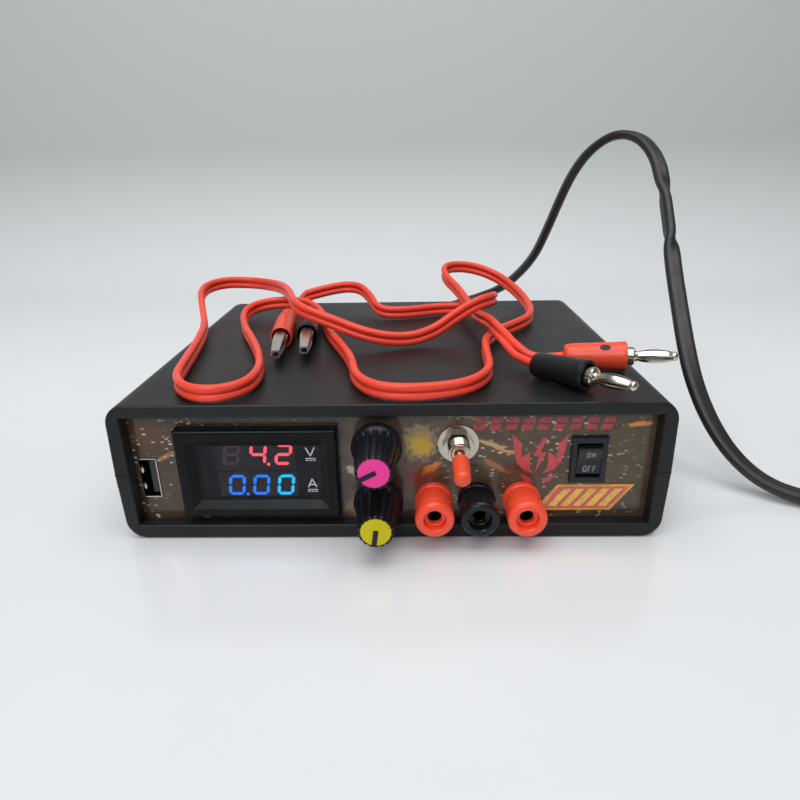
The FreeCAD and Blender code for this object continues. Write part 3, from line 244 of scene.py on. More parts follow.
def ink(name, colour):
    """Printed ink on the film, slightly mottled."""
    g = Graph(name, 0.3, Coat_Weight=0.6, Coat_Roughness=0.06)
    g.feed("Base Color", g.mix(g.clouds(1.6, 5.0, 0.35), shade(colour, 0.8), shade(colour, 1.15)))
    g.feed("Normal", g.relief(g.noise(1.2, 2.0), 0.008, 0.4))
    return g.material


def glowing(name, colour, strength):
    """A lit display segment, a little brighter in its middle; at low strength, the faint painted glow that
    makes an unlit segment show.
    """
    g = Graph(name, 0.4, Emission_Strength=strength)
    glow = g.mix(g.clouds(0.9, 2.0), shade(colour, 0.85), colour)
    g.feed("Base Color", glow)
    g.feed("Emission Color", glow)
    return g.material


def window_finish():
    """Smoked acrylic with faint wipe marks."""
    g = Graph("window_finish", 0.05, Alpha=0.38, IOR=1.49)
    g.feed("Base Color", g.mix(g.noise(8.0), (0.006, 0.006, 0.012), (0.012, 0.012, 0.022)))
    g.feed("Roughness", g.clouds(7.0, 5.0, 0.35, 0.7, 0.03, 0.12))
    g.material.surface_render_method = "BLENDED"
    return g.material


def display_finish():
    """Dark grey, slightly mottled face of the display behind its window."""
    g = Graph("display_finish", 0.5)
    g.feed("Base Color", g.mix(g.noise(5.0, 2.0), (0.060, 0.052, 0.062), (0.085, 0.074, 0.086)))
    g.feed("Normal", g.relief(g.noise(0.6), 0.01))
    return g.material


def board_finish():
    """Green solder mask with faint copper tracks under it."""
    g = Graph("board_finish", 0.35)
    tracks = g.node("ShaderNodeTexBrick", {"Vector": g.place, "Scale": 180.0, "Mortar Size": 0.03})
    g.feed("Base Color", g.mix(tracks.outputs["Fac"], (0.012, 0.10, 0.04), (0.03, 0.19, 0.07)))
    g.feed("Normal", g.relief(g.noise(0.8), 0.02))
    return g.material


RED_VINYL = (0.88, 0.070, 0.038)
BLACK_VINYL = (0.010, 0.010, 0.012)
NICKEL = (0.60, 0.54, 0.45)
FINISH = {
    "case_plastic": case_finish(),
    "panel_plastic": moulded("rear_panel_finish", (0.022, 0.022, 0.024), 0.5),
    "panel_decal": decal_finish(),
    "zinc_steel": metal("zinc_finish", (0.52, 0.51, 0.48), 0.3),
    "gloss_black": moulded("bezel_finish", (0.007, 0.008, 0.0095), 0.2, 0.6, 0.004, gloss=0.12),
    "meter_window": window_finish(),
    "circuit_board": board_finish(),
    "nickel": metal("nickel_finish", NICKEL, 0.16, (1.0, 6.0, 1.0), depth=0.002),
    "socket_black": moulded("socket_finish", (0.03, 0.03, 0.034), 0.4),
    "brass_shaft": metal("shaft_finish", (0.70, 0.62, 0.42), 0.3, (1.0, 8.0, 1.0)),
    "brass_insert": metal("insert_finish", (0.72, 0.60, 0.34), 0.3, (1.0, 8.0, 1.0)),
    "knob_black": moulded("knob_finish", (0.007, 0.0075, 0.011), 0.36, 0.3, 0.006, gloss=0.32),
    "cap_pink": moulded("pink_cap_finish", (0.93, 0.045, 0.34), 0.45, 0.5, 0.01, 0.06, gloss=0.3),
    "cap_yellow": moulded("yellow_cap_finish", (0.66, 0.56, 0.006), 0.45, 0.5, 0.01, 0.06, gloss=0.25),
    "red_rubber": moulded("toggle_sleeve_finish", (0.85, 0.085, 0.03), 0.36, 0.4, 0.008, 0.06),
    "rocker_black": moulded("rocker_finish", (0.009, 0.011, 0.015), 0.3, 0.4, 0.01, gloss=0.4),
    "post_red": moulded("red_post_finish", (1.0, 0.085, 0.034), 0.3, 0.5, 0.006, 0.03),
    "post_black": moulded("black_post_finish", (0.007, 0.008, 0.012), 0.24, 0.5, 0.006, gloss=0.32),
    "cord_black": moulded("cord_finish", (0.013, 0.0135, 0.0145), 0.42, 0.5, 0.02),
    "ferrite": moulded("ferrite_finish", (0.06, 0.06, 0.06), 0.6),
    "capacitor_sleeve": moulded("capacitor_finish", (0.02, 0.02, 0.06), 0.3),
    "heatsink": metal("heatsink_finish", (0.6, 0.6, 0.6), 0.4),
    "lead_red": moulded("lead_finish", RED_VINYL, 0.33, 0.7, 0.008, 0.07, gloss=0.35),
    "sleeve_black": moulded("black_sleeve_finish", BLACK_VINYL, 0.36, 0.5, 0.01, gloss=0.3),
    "boot_red": moulded("red_boot_finish", (0.86, 0.075, 0.03), 0.34, 0.5, 0.01, 0.06),
    "clip_steel": metal("clip_finish", (0.66, 0.63, 0.59), 0.28, (5.0, 1.0, 5.0), depth=0.006),
}

for part in frame["record"]["subparts"]:
    node = frame["nodes"].get(part["node"])
    if node is None:
        continue
    if not node.material_slots:
        node.data.materials.append(FINISH[part["material_slot"]])
    for material_slot in node.material_slots:
        material_slot.material = FINISH[part["material_slot"]]

for material_slot in frame["nodes"]["meter_board"].material_slots:
    material_slot.material = display_finish()


# ---------------------------------------------------------------- mesh helpers
def add_piece(name, build, slot, body="root", material=None, sharp=35):
    """A piece on a body, from a mesh in millimetres that build adds to the bmesh it is given."""
    work = bmesh.new()
    build(work)
    bmesh.ops.recalc_face_normals(work, faces=work.faces[:])
    mesh = bpy.data.meshes.new(name)
    work.to_mesh(mesh)
    work.free()
    mesh.transform(Matrix.Scale(MM, 4))
    mesh.materials.append(material or FINISH[slot])
    mesh.shade_smooth()
    mesh.set_sharp_from_angle(angle=math.radians(sharp))
    piece = bpy.data.objects.new(name, mesh)
    bpy.context.scene.collection.objects.link(piece)
    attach(piece, body)
    return piece


def add_rings(work, rings, closed=False):
    """Skins rings of points, each a closed loop; a single point ends the skin in a pole."""
    made = [[work.verts.new(point) for point in ring] for ring in rings]
    pairs = list(zip(made, made[1:]))
    if closed:
        pairs.append((made[-1], made[0]))
    for first, second in pairs:
        count = max(len(first), len(second))
        for i in range(count):
            k = (i + 1) % count
            corners = []
            for ring, picks in ((first, (i, k)), (second, (k, i))):
                for pick in picks:
                    corner = ring[pick % len(ring)] if len(ring) > 1 else ring[0]
                    if corner not in corners:
                        corners.append(corner)
            if len(corners) > 2:
                work.faces.new(corners)
    if not closed:
        for ring in (made[0], made[-1]):
            if len(ring) > 2:
                work.faces.new(ring)


def frame_along(start, direction):
    """A matrix whose X axis runs along direction from start, with its Z axis kept upright."""
    along = Vector(direction).normalized()
    side = UP.cross(along)
    side = side.normalized() if side.length > 1e-6 else Vector((0, 1, 0))
    top = along.cross(side)
    turned = Matrix((along, side, top)).transposed().to_4x4()
    return Matrix.Translation(start) @ turned


def add_lathe(work, place, profile, count=40, shape=None):
    """Turns a profile of (along, radius) round the X axis of place."""
    rings = []
    for along, radius in profile:
        if radius <= 0:
            rings.append([place @ Vector((along, 0, 0))])
            continue
        ring = []
        for i in range(count):
            angle = 2 * math.pi * i / count
            reach = shape(along, angle, radius) if shape else (radius, radius)
            ring.append(place @ Vector((along, reach[0] * math.cos(angle), reach[1] * math.sin(angle))))
        rings.append(ring)
    add_rings(work, rings)


def add_plate(work, outline, back, front, place=Matrix()):
    """A flat plate in place's axes: an outline of (x, z), from y back to y front."""
    rear = [work.verts.new(place @ Vector((x, back, z))) for x, z in outline]
    fore = [work.verts.new(place @ Vector((x, front, z))) for x, z in outline]
    work.faces.new(rear)
    work.faces.new(fore)
    for i in range(len(outline)):
        k = (i + 1) % len(outline)
        work.faces.new((rear[i], rear[k], fore[k], fore[i]))


def add_block(work, low, high, place=Matrix()):
    """A box between two corners, in place's axes."""
    corners = [place @ Vector((x, y, z))
               for x in (low[0], high[0]) for y in (low[1], high[1]) for z in (low[2], high[2])]
    made = [work.verts.new(corner) for corner in corners]
    for face in ((0, 1, 3, 2), (4, 6, 7, 5), (0, 4, 5, 1), (2, 3, 7, 6), (0, 2, 6, 4), (1, 5, 7, 3)):
        work.faces.new([made[i] for i in face])


def bar(start, end, width, point=0.5):
    """Outline of a straight bar with pointed ends."""
    a, b = Vector(start), Vector(end)
    along = (b - a).normalized()
    side = Vector((-along.y, along.x)) * width / 2
    tip = along * width * point
    return [tuple(p) for p in (a, a + tip + side, b - tip + side, b, b - tip - side, a + tip - side)]


def plates(name, outlines, back, front, slot, material):
    """One piece from many flat outlines."""
    def build(work):
        for outline in outlines:
            add_plate(work, outline, back, front)
    return add_piece(name, build, slot, material=material)


# ---------------------------------------------------------------- cords
LEAD_ROUTE = [
    (35.2, -14, 52.6), (34.4, -7, 52.5), (33.1, 1, 51.4), (31.4, 12, 50.2), (29.5, 26, 51.4),
    (26.5, 38, 54.6), (20.8, 49.5, 58.3), (21.8, 59, 60.9), (32, 63, 60.6), (43, 61, 57.6),
    (51.5, 52, 53.2), (56, 35.5, 49.2), (55, 18.5, 47.3), (46, 6.5, 46.9), (37.5, -3, 46.9),
    (32, -15, 46.9), (31, -31, 46.9), (30.5, -47, 46.9), (23, -59, 46.9), (9, -63.2, 46.9),
    (-3.5, -61.8, 46.9), (-10.5, -51.5, 46.9), (-12.5, -36, 46.9), (-18, -19, 46.9),
    (-24, -3, 46.9), (-28, 14, 46.9), (-31.5, 28, 48), (-38.5, 35, 50.3), (-50, 38, 50.4),
    (-59.5, 36.5, 49.4), (-63.3, 25.5, 48.6), (-59, 8, 46.9), (-50, -13, 46.9), (-43.6, -30.5, 46.9),
    (-40.2, -45.5, 46.9), (-41.2, -57.5, 46.9), (-48.5, -63.3, 46.9), (-57.5, -61.5, 46.9),
    (-64, -52, 46.9), (-66.5, -37, 46.9), (-69.5, -16, 46.9), (-74, 8, 47.2), (-81.5, 28, 50.4),
    (-86, 42, 55.2), (-79.5, 53.5, 56.4), (-68, 57.5, 55.4), (-57, 50.5, 55.6), (-48, 35, 57.2),
    (-41.5, 17, 58), (-36, -3, 57), (-22.5, -8.5, 53.4), (-8.5, -12.5, 48.8), (4, -11.5, 46.9),
    (14, -6.5, 48.2), (22.5, -0.5, 52.6), (30.5, 1.5, 57), (37, 7, 57.6), (39.8, 17.5, 55.6),
    (36.8, 29, 51), (29, 37, 47), (17, 36.5, 46.9), (4, 30.5, 46.9), (-7.5, 30.5, 47.2),
    (-11.5, 43, 50.8), (-17.5, 53, 53.8), (-29, 54, 53.2), (-40.5, 49, 50.8),
]
TAIL_ROUTES = {
    "black_plug_tail": [(35.2, -14, 51.25), (36.8, -22.5, 50.4), (38.2, -30.5, 49.2),
                        (40.2, -36.8, 48.1), (44.5, -42.2, 47.9)],
    "red_plug_tail": [(35.2, -14, 53.95), (37.5, -22, 52.6), (40.6, -30, 50.2), (46, -35.4, 47),
                      (55, -34.4, 48)],
    "red_clip_tail": [(-40.5, 49, 49.4), (-44.5, 46.5, 47.4), (-46.5, 41, 45.8), (-45.5, 34, 45.5),
                      (-44.4, 28, 46.8), (-43.7, 21.4, 48.6)],
    "black_clip_tail": [(-40.5, 49, 52.1), (-44, 48.5, 49.5), (-43, 43, 46), (-39.5, 37.5, 45.5),
                        (-36.6, 31.5, 46), (-35, 25.5, 48.6)],
}
MAINS_ROUTE = [
    (8, 84, 20), (8.2, 98, 20), (11, 112, 21.5), (18.5, 123.5, 24), (31, 129.5, 27.5),
    (45, 128.5, 32), (57, 122, 38), (65, 113.5, 47.5), (71.5, 105.5, 58.5), (75.5, 99, 72),
    (79.5, 94.5, 86), (84, 91.5, 99), (90.5, 87, 110), (99.5, 80, 116.5), (107.5, 70, 114.5),
    (111.5, 59, 106.5), (111.5, 49, 97), (111, 39.5, 86.5), (110.5, 30.5, 76), (109.5, 20.5, 65),
    (108.7, 9, 53.5), (107.5, -3, 43), (107.5, -14, 32), (110.5, -24, 20.6), (116, -33.5, 10.8),
    (124.5, -41.5, 4.2), (136.5, -48, 2.2), (151, -53, 2.1), (166.5, -57, 2.7), (182.5, -59.6, 3.4),
    (199, -61, 3.4),
]
COIL_CENTRE = Vector((203, -21, 0))
COIL_START = math.radians(-95.7)
COIL_OUTER = 40.2
COIL_PITCH = 4.1
COIL_LEVEL = 3.4
POINTS_A_TURN = 16
# A spline of order 3 runs inside points that lie on a circle, so they lie this much further out.
OUTSET = 1 / (0.75 + 0.25 * math.cos(2 * math.pi / POINTS_A_TURN))
FLAT_TURN_POINTS = 54
CLIMB_POINTS = 6
CLIMB_TOP = 9.0
# From the top of the climb over the turns to the rear of the plug, heading +Y.
TO_PLUG = [
    (177.8, -27.5, 9.2), (179.6, -38, 9.3), (185, -47.5, 9.4), (193.5, -54.5, 9.5), (204, -58, 9.7),
    (215, -57.5, 10.3), (225, -53.6, 11.3), (232, -47.6, 12.5), (235.1, -42.5, 13.1),
    (235.1, -38.3, 13.15),
]


def coil_points():
    """A flat spiral inwards, then a climb inside it, with each point on the cord's own line."""
    points = []
    step = 2 * math.pi / POINTS_A_TURN
    for i in range(1, FLAT_TURN_POINTS + CLIMB_POINTS + 1):
        angle = COIL_START + step * i
        climb = max(0, i - FLAT_TURN_POINTS) / CLIMB_POINTS
        radius = (COIL_OUTER - COIL_PITCH * i / POINTS_A_TURN) * OUTSET
        height = COIL_LEVEL + (CLIMB_TOP - COIL_LEVEL) * climb
        points.append(COIL_CENTRE + Vector((radius * math.cos(angle), radius * math.sin(angle), height)))
    return [tuple(point) for point in points]


CURVE_STEPS = 12


def nurbs(name, route):
    """Curve data with one smooth NURBS spline along a route in millimetres."""
    data = bpy.data.curves.new(name, "CURVE")
    data.dimensions = "3D"
    data.resolution_u = CURVE_STEPS
    spline = data.splines.new("NURBS")
    spline.points.add(len(route) - 1)
    for control, point in zip(spline.points, route):
        control.co = (*(part * MM for part in point), 1)
    spline.order_u = 3
    spline.use_endpoint_u = True
    return data


def line_of(route):
    """The points of a route's smooth curve, in millimetres."""
    bare = bpy.data.objects.new("bare", nurbs("bare", route))
    mesh = bpy.data.meshes.new_from_object(bare)
    line = [vertex.co / MM for vertex in mesh.vertices]
    bpy.data.meshes.remove(mesh)
    bpy.data.curves.remove(bare.data)
    return line


def tangents(line):
    """The direction of travel at each point of a line."""
    last = len(line) - 1
    return [(line[min(i + 1, last)] - line[max(i - 1, 0)]).normalized() for i in range(last + 1)]


def swept(name, line, outline, wide_sides, slot, sharp=60):
    """A tube that follows line; outline is (wide, thin) in millimetres, turned to each wide side."""
    def build(work):
        rings = []
        for point, tangent, wide in zip(line, tangents(line), wide_sides):
            wide = (wide - tangent * wide.dot(tangent)).normalized()
            thin = tangent.cross(wide)
            rings.append([point + wide * a + thin * b for a, b in outline])
        add_rings(work, rings)
    return add_piece(name, build, slot, sharp=sharp)


def two_lobes(offset, radius, waist_angle, count):
    """Outline of two round strands side by side, joined at a waist."""
    points = []
    for sign in (1, -1):
        for i in range(count):
            angle = math.radians(-waist_angle + 2 * waist_angle * i / (count - 1))
            points.append((sign * (offset + radius * math.cos(angle)), sign * radius * math.sin(angle)))
    return points


STRAND = 2.6
lead_line = line_of(LEAD_ROUTE)
test_lead = swept("test_lead_strands", lead_line, two_lobes(STRAND / 2, STRAND / 2, 167, 20),
                  [UP] * len(lead_line), "lead_red", 35)
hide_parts("test_lead")

for tail, route in TAIL_ROUTES.items():
    curve = nurbs(tail, route)
    curve.bevel_depth = STRAND / 2 * MM
    curve.bevel_resolution = 5
    curve.use_fill_caps = True
    curve.materials.append(FINISH["lead_red"])
    strand = bpy.data.objects.new(tail, curve)
    bpy.context.scene.collection.objects.link(strand)
    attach(strand, "root")
    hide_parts("plug_tails" if "plug" in tail else "clip_tails")

mains_route = MAINS_ROUTE + coil_points() + TO_PLUG
mains_line = line_of(mains_route)
CLIMB_START = len(MAINS_ROUTE) + FLAT_TURN_POINTS
# Where the flat cord's wide side points, by route point; None is level, across the cord.
WIDE_SIDE = [
    (4, None), (6, TOWARDS_VIEWER), (11, TOWARDS_VIEWER), (14, None), (15.2, None), (16.5, TOWARDS_VIEWER),
    (17.3, TOWARDS_VIEWER), (18.4, None), (26, None), (30, UP),
    (CLIMB_START + 1, UP), (CLIMB_START + CLIMB_POINTS - 1, None),
]


def wide_side(position, tangent):
    """The wide side's direction at a position counted in route points."""
    level = tangent.cross(UP).normalized()
    before, after = WIDE_SIDE[0], WIDE_SIDE[-1]
    for key in WIDE_SIDE:
        if key[0] <= position:
            before = key
    for key in reversed(WIDE_SIDE):
        if key[0] >= position:
            after = key
    first, second = before[1] or level, after[1] or level
    span = after[0] - before[0]
    share = min(1.0, max(0.0, (position - before[0]) / span)) if span > 0 else 0.0
    share = share * share * (3 - 2 * share)
    return first * (1 - share) + second * share


mains_sides = [
    wide_side(i * (len(mains_route) - 1) / (len(mains_line) - 1), tangent)
    for i, tangent in enumerate(tangents(mains_line))
]
CORD_WIDE, CORD_THIN = 6.4, 3.9
mains_cord = swept("mains_cord_jacket", mains_line,
                   two_lobes((CORD_WIDE - CORD_THIN) / 2, CORD_THIN / 2, 100, 12), mains_sides,
                   "cord_black")
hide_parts("mains_cord", "mains_coil")


# ---------------------------------------------------------------- pieces on the cords
GLAND_LENGTH = 26


def gland_profile():
    """Flange, then a tapered neck with rings cut into it."""
    profile = [(-3, 0), (-3, 6.4), (0, 6.4), (0, 6.8), (1.6, 6.8), (2.2, 6.4), (2.6, 5.6)]
    rings, start, end = 6, 4.0, 23.0
    pitch = (end - start) / rings
    for i in range(rings):
        left = start + pitch * i
        wide = 5.6 - 1.5 * (left - 3) / 23
        profile += [(left, wide), (left + pitch * 0.55, wide - 0.1), (left + pitch * 0.65, wide - 1.0),
                    (left + pitch * 0.95, wide - 1.1)]
    return profile + [(end, 4.3), (25.6, 4.1), (GLAND_LENGTH, 3.8), (GLAND_LENGTH, 0)]


def build_gland(work):
    """The neck grows flatter towards the cord."""
    place = frame_along((8, 60, 20), (0, 1, 0))
    add_lathe(work, place, gland_profile(), 40, lambda along, angle, radius: (
        radius, radius * (1 - 0.25 * max(0, along) / GLAND_LENGTH)))


gland = add_piece("gland_relief", build_gland, "cord_black")
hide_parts("cord_gland")


def build_tie(work):
    """A flat band round the coil's turns, with its twisted end on top."""
    angle = math.radians(150)
    outward = Vector((math.cos(angle), math.sin(angle), 0))
    along = Vector((-math.sin(angle), math.cos(angle), 0))
    inner, outer, bottom, top, bend = 24.0, 42.0, 0.35, 7.2, 1.2
    middle, half = (inner + outer) / 2, (outer - inner) / 2
    loop = []
    for sx, sz, turn in ((1, 1, 0), (-1, 1, 90), (-1, -1, 180), (1, -1, 270)):
        centre = (sx * (half - bend), (top + bottom) / 2 + sz * ((top - bottom) / 2 - bend))
        for k in range(5):
            a = math.radians(turn + 22.5 * k)
            loop.append((centre[0] + bend * math.cos(a), centre[1] + bend * math.sin(a),
                         math.cos(a), math.sin(a)))
    rings = []
    for across, level, out_x, out_z in loop:
        base = COIL_CENTRE + outward * (middle + across) + UP * level
        normal = (outward * out_x + UP * out_z) * 0.35
        rings.append([base - normal - along * 1.6, base + normal - along * 1.6,
                      base + normal + along * 1.6, base - normal + along * 1.6])
    add_rings(work, rings, closed=True)
    knot = COIL_CENTRE + outward * 32 + UP * 7.6
    for side in (-1, 1):
        add_lathe(work, frame_along(knot, outward * side + along * 0.5 + UP * 0.1),
                  [(0, 0), (0, 0.9), (1.5, 1.2), (3, 0.8), (8, 1.0), (9, 0.6), (9.2, 0)], 12,
                  lambda at, angle, radius: (radius * 1.3, radius * 0.55))


tie = add_piece("coil_tie", build_tie, "cord_black")


# The rear end and the tip of each plug and clip.
PLUG_ENDS = {"black": ((44.5, -42.2, 47.9), (61.8, -62.4, 49.4)),
             "red": ((55, -34.4, 48), (88.4, -41.4, 49.6))}
CLIP_ENDS = {"red": ((-43.7, 21.4, 48.6), (-38.3, -30.4, 48.6)),
             "black": ((-35, 25.5, 48.6), (-29.6, -26.3, 48.6))}


def along_piece(ends):
    """A matrix at the first end, whose X axis points to the second."""
    start, end = (Vector(point) for point in ends)
    return frame_along(start, end - start)


PIN_LEAVES = 4
LEAF_START, LEAF_LENGTH, LEAF_STEPS = 22.1, 10.4, 14


def build_pins(work):
    """Banana contacts: collar, neck, four bowed leaves round a core, and a ball tip."""
    for ends in PLUG_ENDS.values():
        place = along_piece(ends)
        add_lathe(work, place, [
            (6, 0), (6, 1.55), (16.9, 1.55), (16.9, 2.9), (20.9, 2.9), (21.3, 2.6),
            (21.5, 1.75), (22.2, 1.6), (22.3, 0.95), (32.2, 0.95), (32.4, 1.35), (33, 1.5),
            (33.6, 1.3), (34, 0.8), (34.15, 0)], 32)
        for k in range(PIN_LEAVES):
            turned = place @ Matrix.Rotation(2 * math.pi * (k + 0.5) / PIN_LEAVES, 4, "X")
            rings = []
            for i in range(LEAF_STEPS + 1):
                share = i / LEAF_STEPS
                bow = math.sin(math.pi * share) ** 0.7
                out = 1.2 + 0.85 * bow
                half = 0.78 + 0.24 * bow
                at = LEAF_START + LEAF_LENGTH * share
                rings.append([turned @ Vector((at, -half, out - 0.32)),
                              turned @ Vector((at, half, out - 0.32)),
                              turned @ Vector((at, half * 0.8, out - 0.06)),
                              turned @ Vector((at, 0, out)),
                              turned @ Vector((at, -half * 0.8, out - 0.06))])
            add_rings(work, rings)


pins = add_piece("banana_contacts", build_pins, "nickel")
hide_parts("plug_pins")


SLEEVE_PROFILE = [
    (0, 0), (0, 1.6), (0.15, 2.9), (0.6, 3.5), (1.4, 3.78), (4, 3.98), (9, 4.15), (15, 4.4), (17.4, 4.55),
    (18.3, 4.62), (18.8, 4.5), (19, 4.15), (19, 3.75), (18.8, 3.4), (16.5, 3.2), (16.5, 0),
]


def build_screw_hole_shade(work):
    """Dark oval disc over the screw in the red sleeve: painted shade for its shadowed screw hole."""
    outwards = Matrix.Translation((12.5, 0, 0)) @ Matrix.Rotation(math.radians(-90), 4, "Y")
    place = along_piece(PLUG_ENDS["red"]) @ Matrix.Rotation(math.radians(35), 4, "X") @ outwards
    add_lathe(work, place, [(3, 0), (3, 1.0), (4.32, 1.0), (4.36, 0.9), (4.36, 0)], 24,
              lambda along, angle, radius: (radius, radius * 1.7))


for key, slot_name in (("black", "sleeve_black"), ("red", "boot_red")):
    def build_sleeve(work):
        add_lathe(work, along_piece(PLUG_ENDS[key]), SLEEVE_PROFILE, 48)
    name = f"{key}_banana_sleeve"
    add_piece(name, build_sleeve, slot_name)
    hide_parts(f"{key}_plug_sleeve")
# A black disc over the screw hole: painted shade for the shadowed recess.
add_piece("sleeve_screw_hole_painted_shade", build_screw_hole_shade, "knob_black")


def boot_profile():
    """Outside from the cord to the mouth, then back along the inside."""
    outside = [(0, 0), (0, 1.5), (0.1, 2.3), (0.6, 2.9)]
    for i in range(4):
        left = 2.2 + 2.0 * i
        wide = 3.25 + 0.1 * i
        outside += [(left, wide), (left + 0.4, wide - 0.3),
                    (left + 0.9, wide - 0.3), (left + 1.3, wide + 0.05)]
    outside += [(11.5, 3.85), (14, 4.0), (20, 4.05), (27, 4.02), (31, 4.0), (33.2, 4.08), (33.8, 4.0),
                (34, 3.8)]
    inside = [(33.8, 3.5), (30, 3.42), (14, 3.4), (10, 3.1), (4, 2.4), (4, 0)]
    return outside + inside


def boot_shape(along, angle, radius):
    """Round at the cord, and a little oval at the mouth."""
    oval = 0.07 * min(1.0, max(0.0, (along - 12) / 20))
    return radius * (1 - oval), radius * (1 + oval * 0.3)


for key, slot_name in (("red", "boot_red"), ("black", "sleeve_black")):
    def build_boot(work):
        add_lathe(work, along_piece(CLIP_ENDS[key]), boot_profile(), 56, boot_shape)
    name = f"{key}_vinyl_boot"
    add_piece(name, build_boot, slot_name)
    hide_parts(f"{key}_clip_boot")


JAW_WALL = 0.5
TEETH, FIRST_TOOTH = 7, 42.0
# How far the tops and the bottoms of the teeth are from the plane where the jaws meet.
CREST, VALLEY = 0.14, 0.85


def jaw_stations(tip, ears):
    """Along the clip: (along, half width, back of the channel, edge of its sides)."""
    stations = ears + [(FIRST_TOOTH, 2.0, 2.3, CREST)]
    pitch = (tip - FIRST_TOOTH) / TEETH
    for i in range(TEETH):
        for share, edge in ((0.5, VALLEY), (1.0, CREST)):
            along = FIRST_TOOTH + pitch * (i + share)
            reach = (along - FIRST_TOOTH) / (tip - FIRST_TOOTH)
            back = 2.3 - 1.0 * reach ** 1.5
            stations.append((along, 2.0 - 0.55 * reach, back, min(edge, back - 0.8)))
    return stations


def add_jaw(work, place, stations):
    """A folded channel with rounded shoulders; its toothed edges face the other jaw."""
    rings = []
    for along, half, back, edge in stations:
        inner, floor = half - JAW_WALL, back - 0.6
        section = [(-half, edge), (-half, back - 0.6), (-half + 0.18, back - 0.18), (-half + 0.6, back),
                   (half - 0.6, back), (half - 0.18, back - 0.18), (half, back - 0.6), (half, edge),
                   (inner, edge), (inner, floor), (-inner, floor), (-inner, edge)]
        rings.append([place @ Vector((along, y, z)) for y, z in section])
    add_rings(work, rings)


# The rear of each jaw, where the pin holds it, as stations.
UPPER_EARS = [(13, 1.35, 3.1, 2.49), (28.8, 1.35, 2.9, 2.29), (29.5, 1.35, 2.85, -0.9),
              (33.3, 1.35, 2.5, -0.9), (34.4, 1.95, 2.4, 0.14)]
LOWER_EARS = [(12, 2.0, 2.7, 2.09), (28.7, 2.0, 2.7, 2.09), (29.5, 2.0, 2.65, -1.2),
              (33.5, 2.0, 2.4, -1.2), (34.3, 2.0, 2.3, 0.14)]


def build_lower_jaws(work):
    """Both clips' fixed jaws, as the upper jaw's shape upside down."""
    for ends in CLIP_ENDS.values():
        add_jaw(work, along_piece(ends) @ Matrix.Scale(-1, 4, (0, 0, 1)), jaw_stations(53.4, LOWER_EARS))


lower_jaws = add_piece("lower_toothed_jaws", build_lower_jaws, "clip_steel")
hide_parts("clip_lower_jaws")
for key in CLIP_ENDS:
    def build_upper_jaw(work):
        add_jaw(work, along_piece(CLIP_ENDS[key]), jaw_stations(53.6, UPPER_EARS))
    name = f"{key}_toothed_jaw"
    jaw = add_piece(name, build_upper_jaw, "clip_steel", f"{key}_jaw")
    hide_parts(f"{key}_clip_upper_jaw")


# ---------------------------------------------------------------- meter display
DIGIT_WIDE, DIGIT_TALL, SEGMENT = 5.1, 6.9, 0.95
SLANT = math.tan(math.radians(8))
DIGIT_BACK, DIGIT_FRONT = -60.61, -60.66
VOLT_ROW, AMP_ROW = 26.6, 16.4
SEGMENTS_OF = {"0": "abcdef", "2": "abdeg", "4": "bcfg", "8": "abcdefg"}


def digit(text, x, z):
    """Outlines of the lit segments of one figure centred on x, z."""
    half, top, gap = (DIGIT_WIDE - SEGMENT) / 2, (DIGIT_TALL - SEGMENT) / 2, 0.12
    lines = {
        "a": ((-half + gap, top), (half - gap, top)), "g": ((-half + gap, 0), (half - gap, 0)),
        "d": ((-half + gap, -top), (half - gap, -top)),
        "f": ((-half, gap), (-half, top - gap)), "b": ((half, gap), (half, top - gap)),
        "e": ((-half, -top + gap), (-half, -gap)), "c": ((half, -top + gap), (half, -gap)),
    }
    made = []
    for segment in SEGMENTS_OF[text]:
        outline = bar(*lines[segment], SEGMENT)
        made.append([(x + px + pz * SLANT, z + pz) for px, pz in outline])
    return made


def dot(x, z):
    """Outline of a decimal point."""
    radius, count = 0.5, 12
    turns = [2 * math.pi * i / count for i in range(count)]
    return [(x + radius * math.cos(turn), z + radius * math.sin(turn)) for turn in turns]


for name, outlines, glow, colour, strength in (
    ("volt_digits",
     digit("4", -39.3, VOLT_ROW) + digit("2", -31.7, VOLT_ROW) + [dot(-36.4, VOLT_ROW - 3.2)],
     "red_glow", (1.0, 0.09, 0.12), 3.2),
    ("amp_digits",
     digit("0", -46.6, AMP_ROW) + digit("0", -39.2, AMP_ROW) + [dot(-43.7, AMP_ROW - 3.2)],
     "blue_glow", (0.006, 0.20, 1.0), 2.6),
    ("last_amp_digit", digit("0", -31.7, AMP_ROW), "cyan_glow", (0.0, 0.50, 1.0), 3.0),
    # The unlit 8 gets a faint painted glow, so that its dark segments show.
    ("unlit_digit", digit("8", -47.3, VOLT_ROW), "unlit_segment_painted_glow", (0.20, 0.13, 0.16), 0.3),
):
    plates(name, outlines, DIGIT_BACK, DIGIT_FRONT, "meter_window", glowing(glow, colour, strength))

LABEL_FRONT, LABEL_BACK = -61.90, -61.856
LETTER_V = ((-1.3, 2.8, 0, 0), (1.3, 2.8, 0, 0))
LETTER_A = ((-1.3, 0, 0, 2.8), (1.3, 0, 0, 2.8), (-0.8, 0.9, 0.8, 0.9))


def unit_label(strokes, x, foot):
    """A letter over a full line and a broken line, centred on x."""
    made = [bar((x + x0, foot + z0), (x + x1, foot + z1), 0.4, 0) for x0, z0, x1, z1 in strokes]
    made.append(bar((x - 1.5, foot - 0.8), (x + 1.5, foot - 0.8), 0.3, 0))
    for left in (-1.5, -0.4, 0.7):
        made.append(bar((x + left, foot - 1.4), (x + left + 0.8, foot - 1.4), 0.3, 0))
    return made


plates("meter_labels", unit_label(LETTER_V, -23.5, 26.65) + unit_label(LETTER_A, -23.5, 16.2),
       LABEL_BACK, LABEL_FRONT, "meter_window", ink("label_ink", (0.62, 0.62, 0.64)))


# ---------------------------------------------------------------- printed shapes on the panel
PRINT_BACK, PRINT_FRONT = -59.98, -60.04


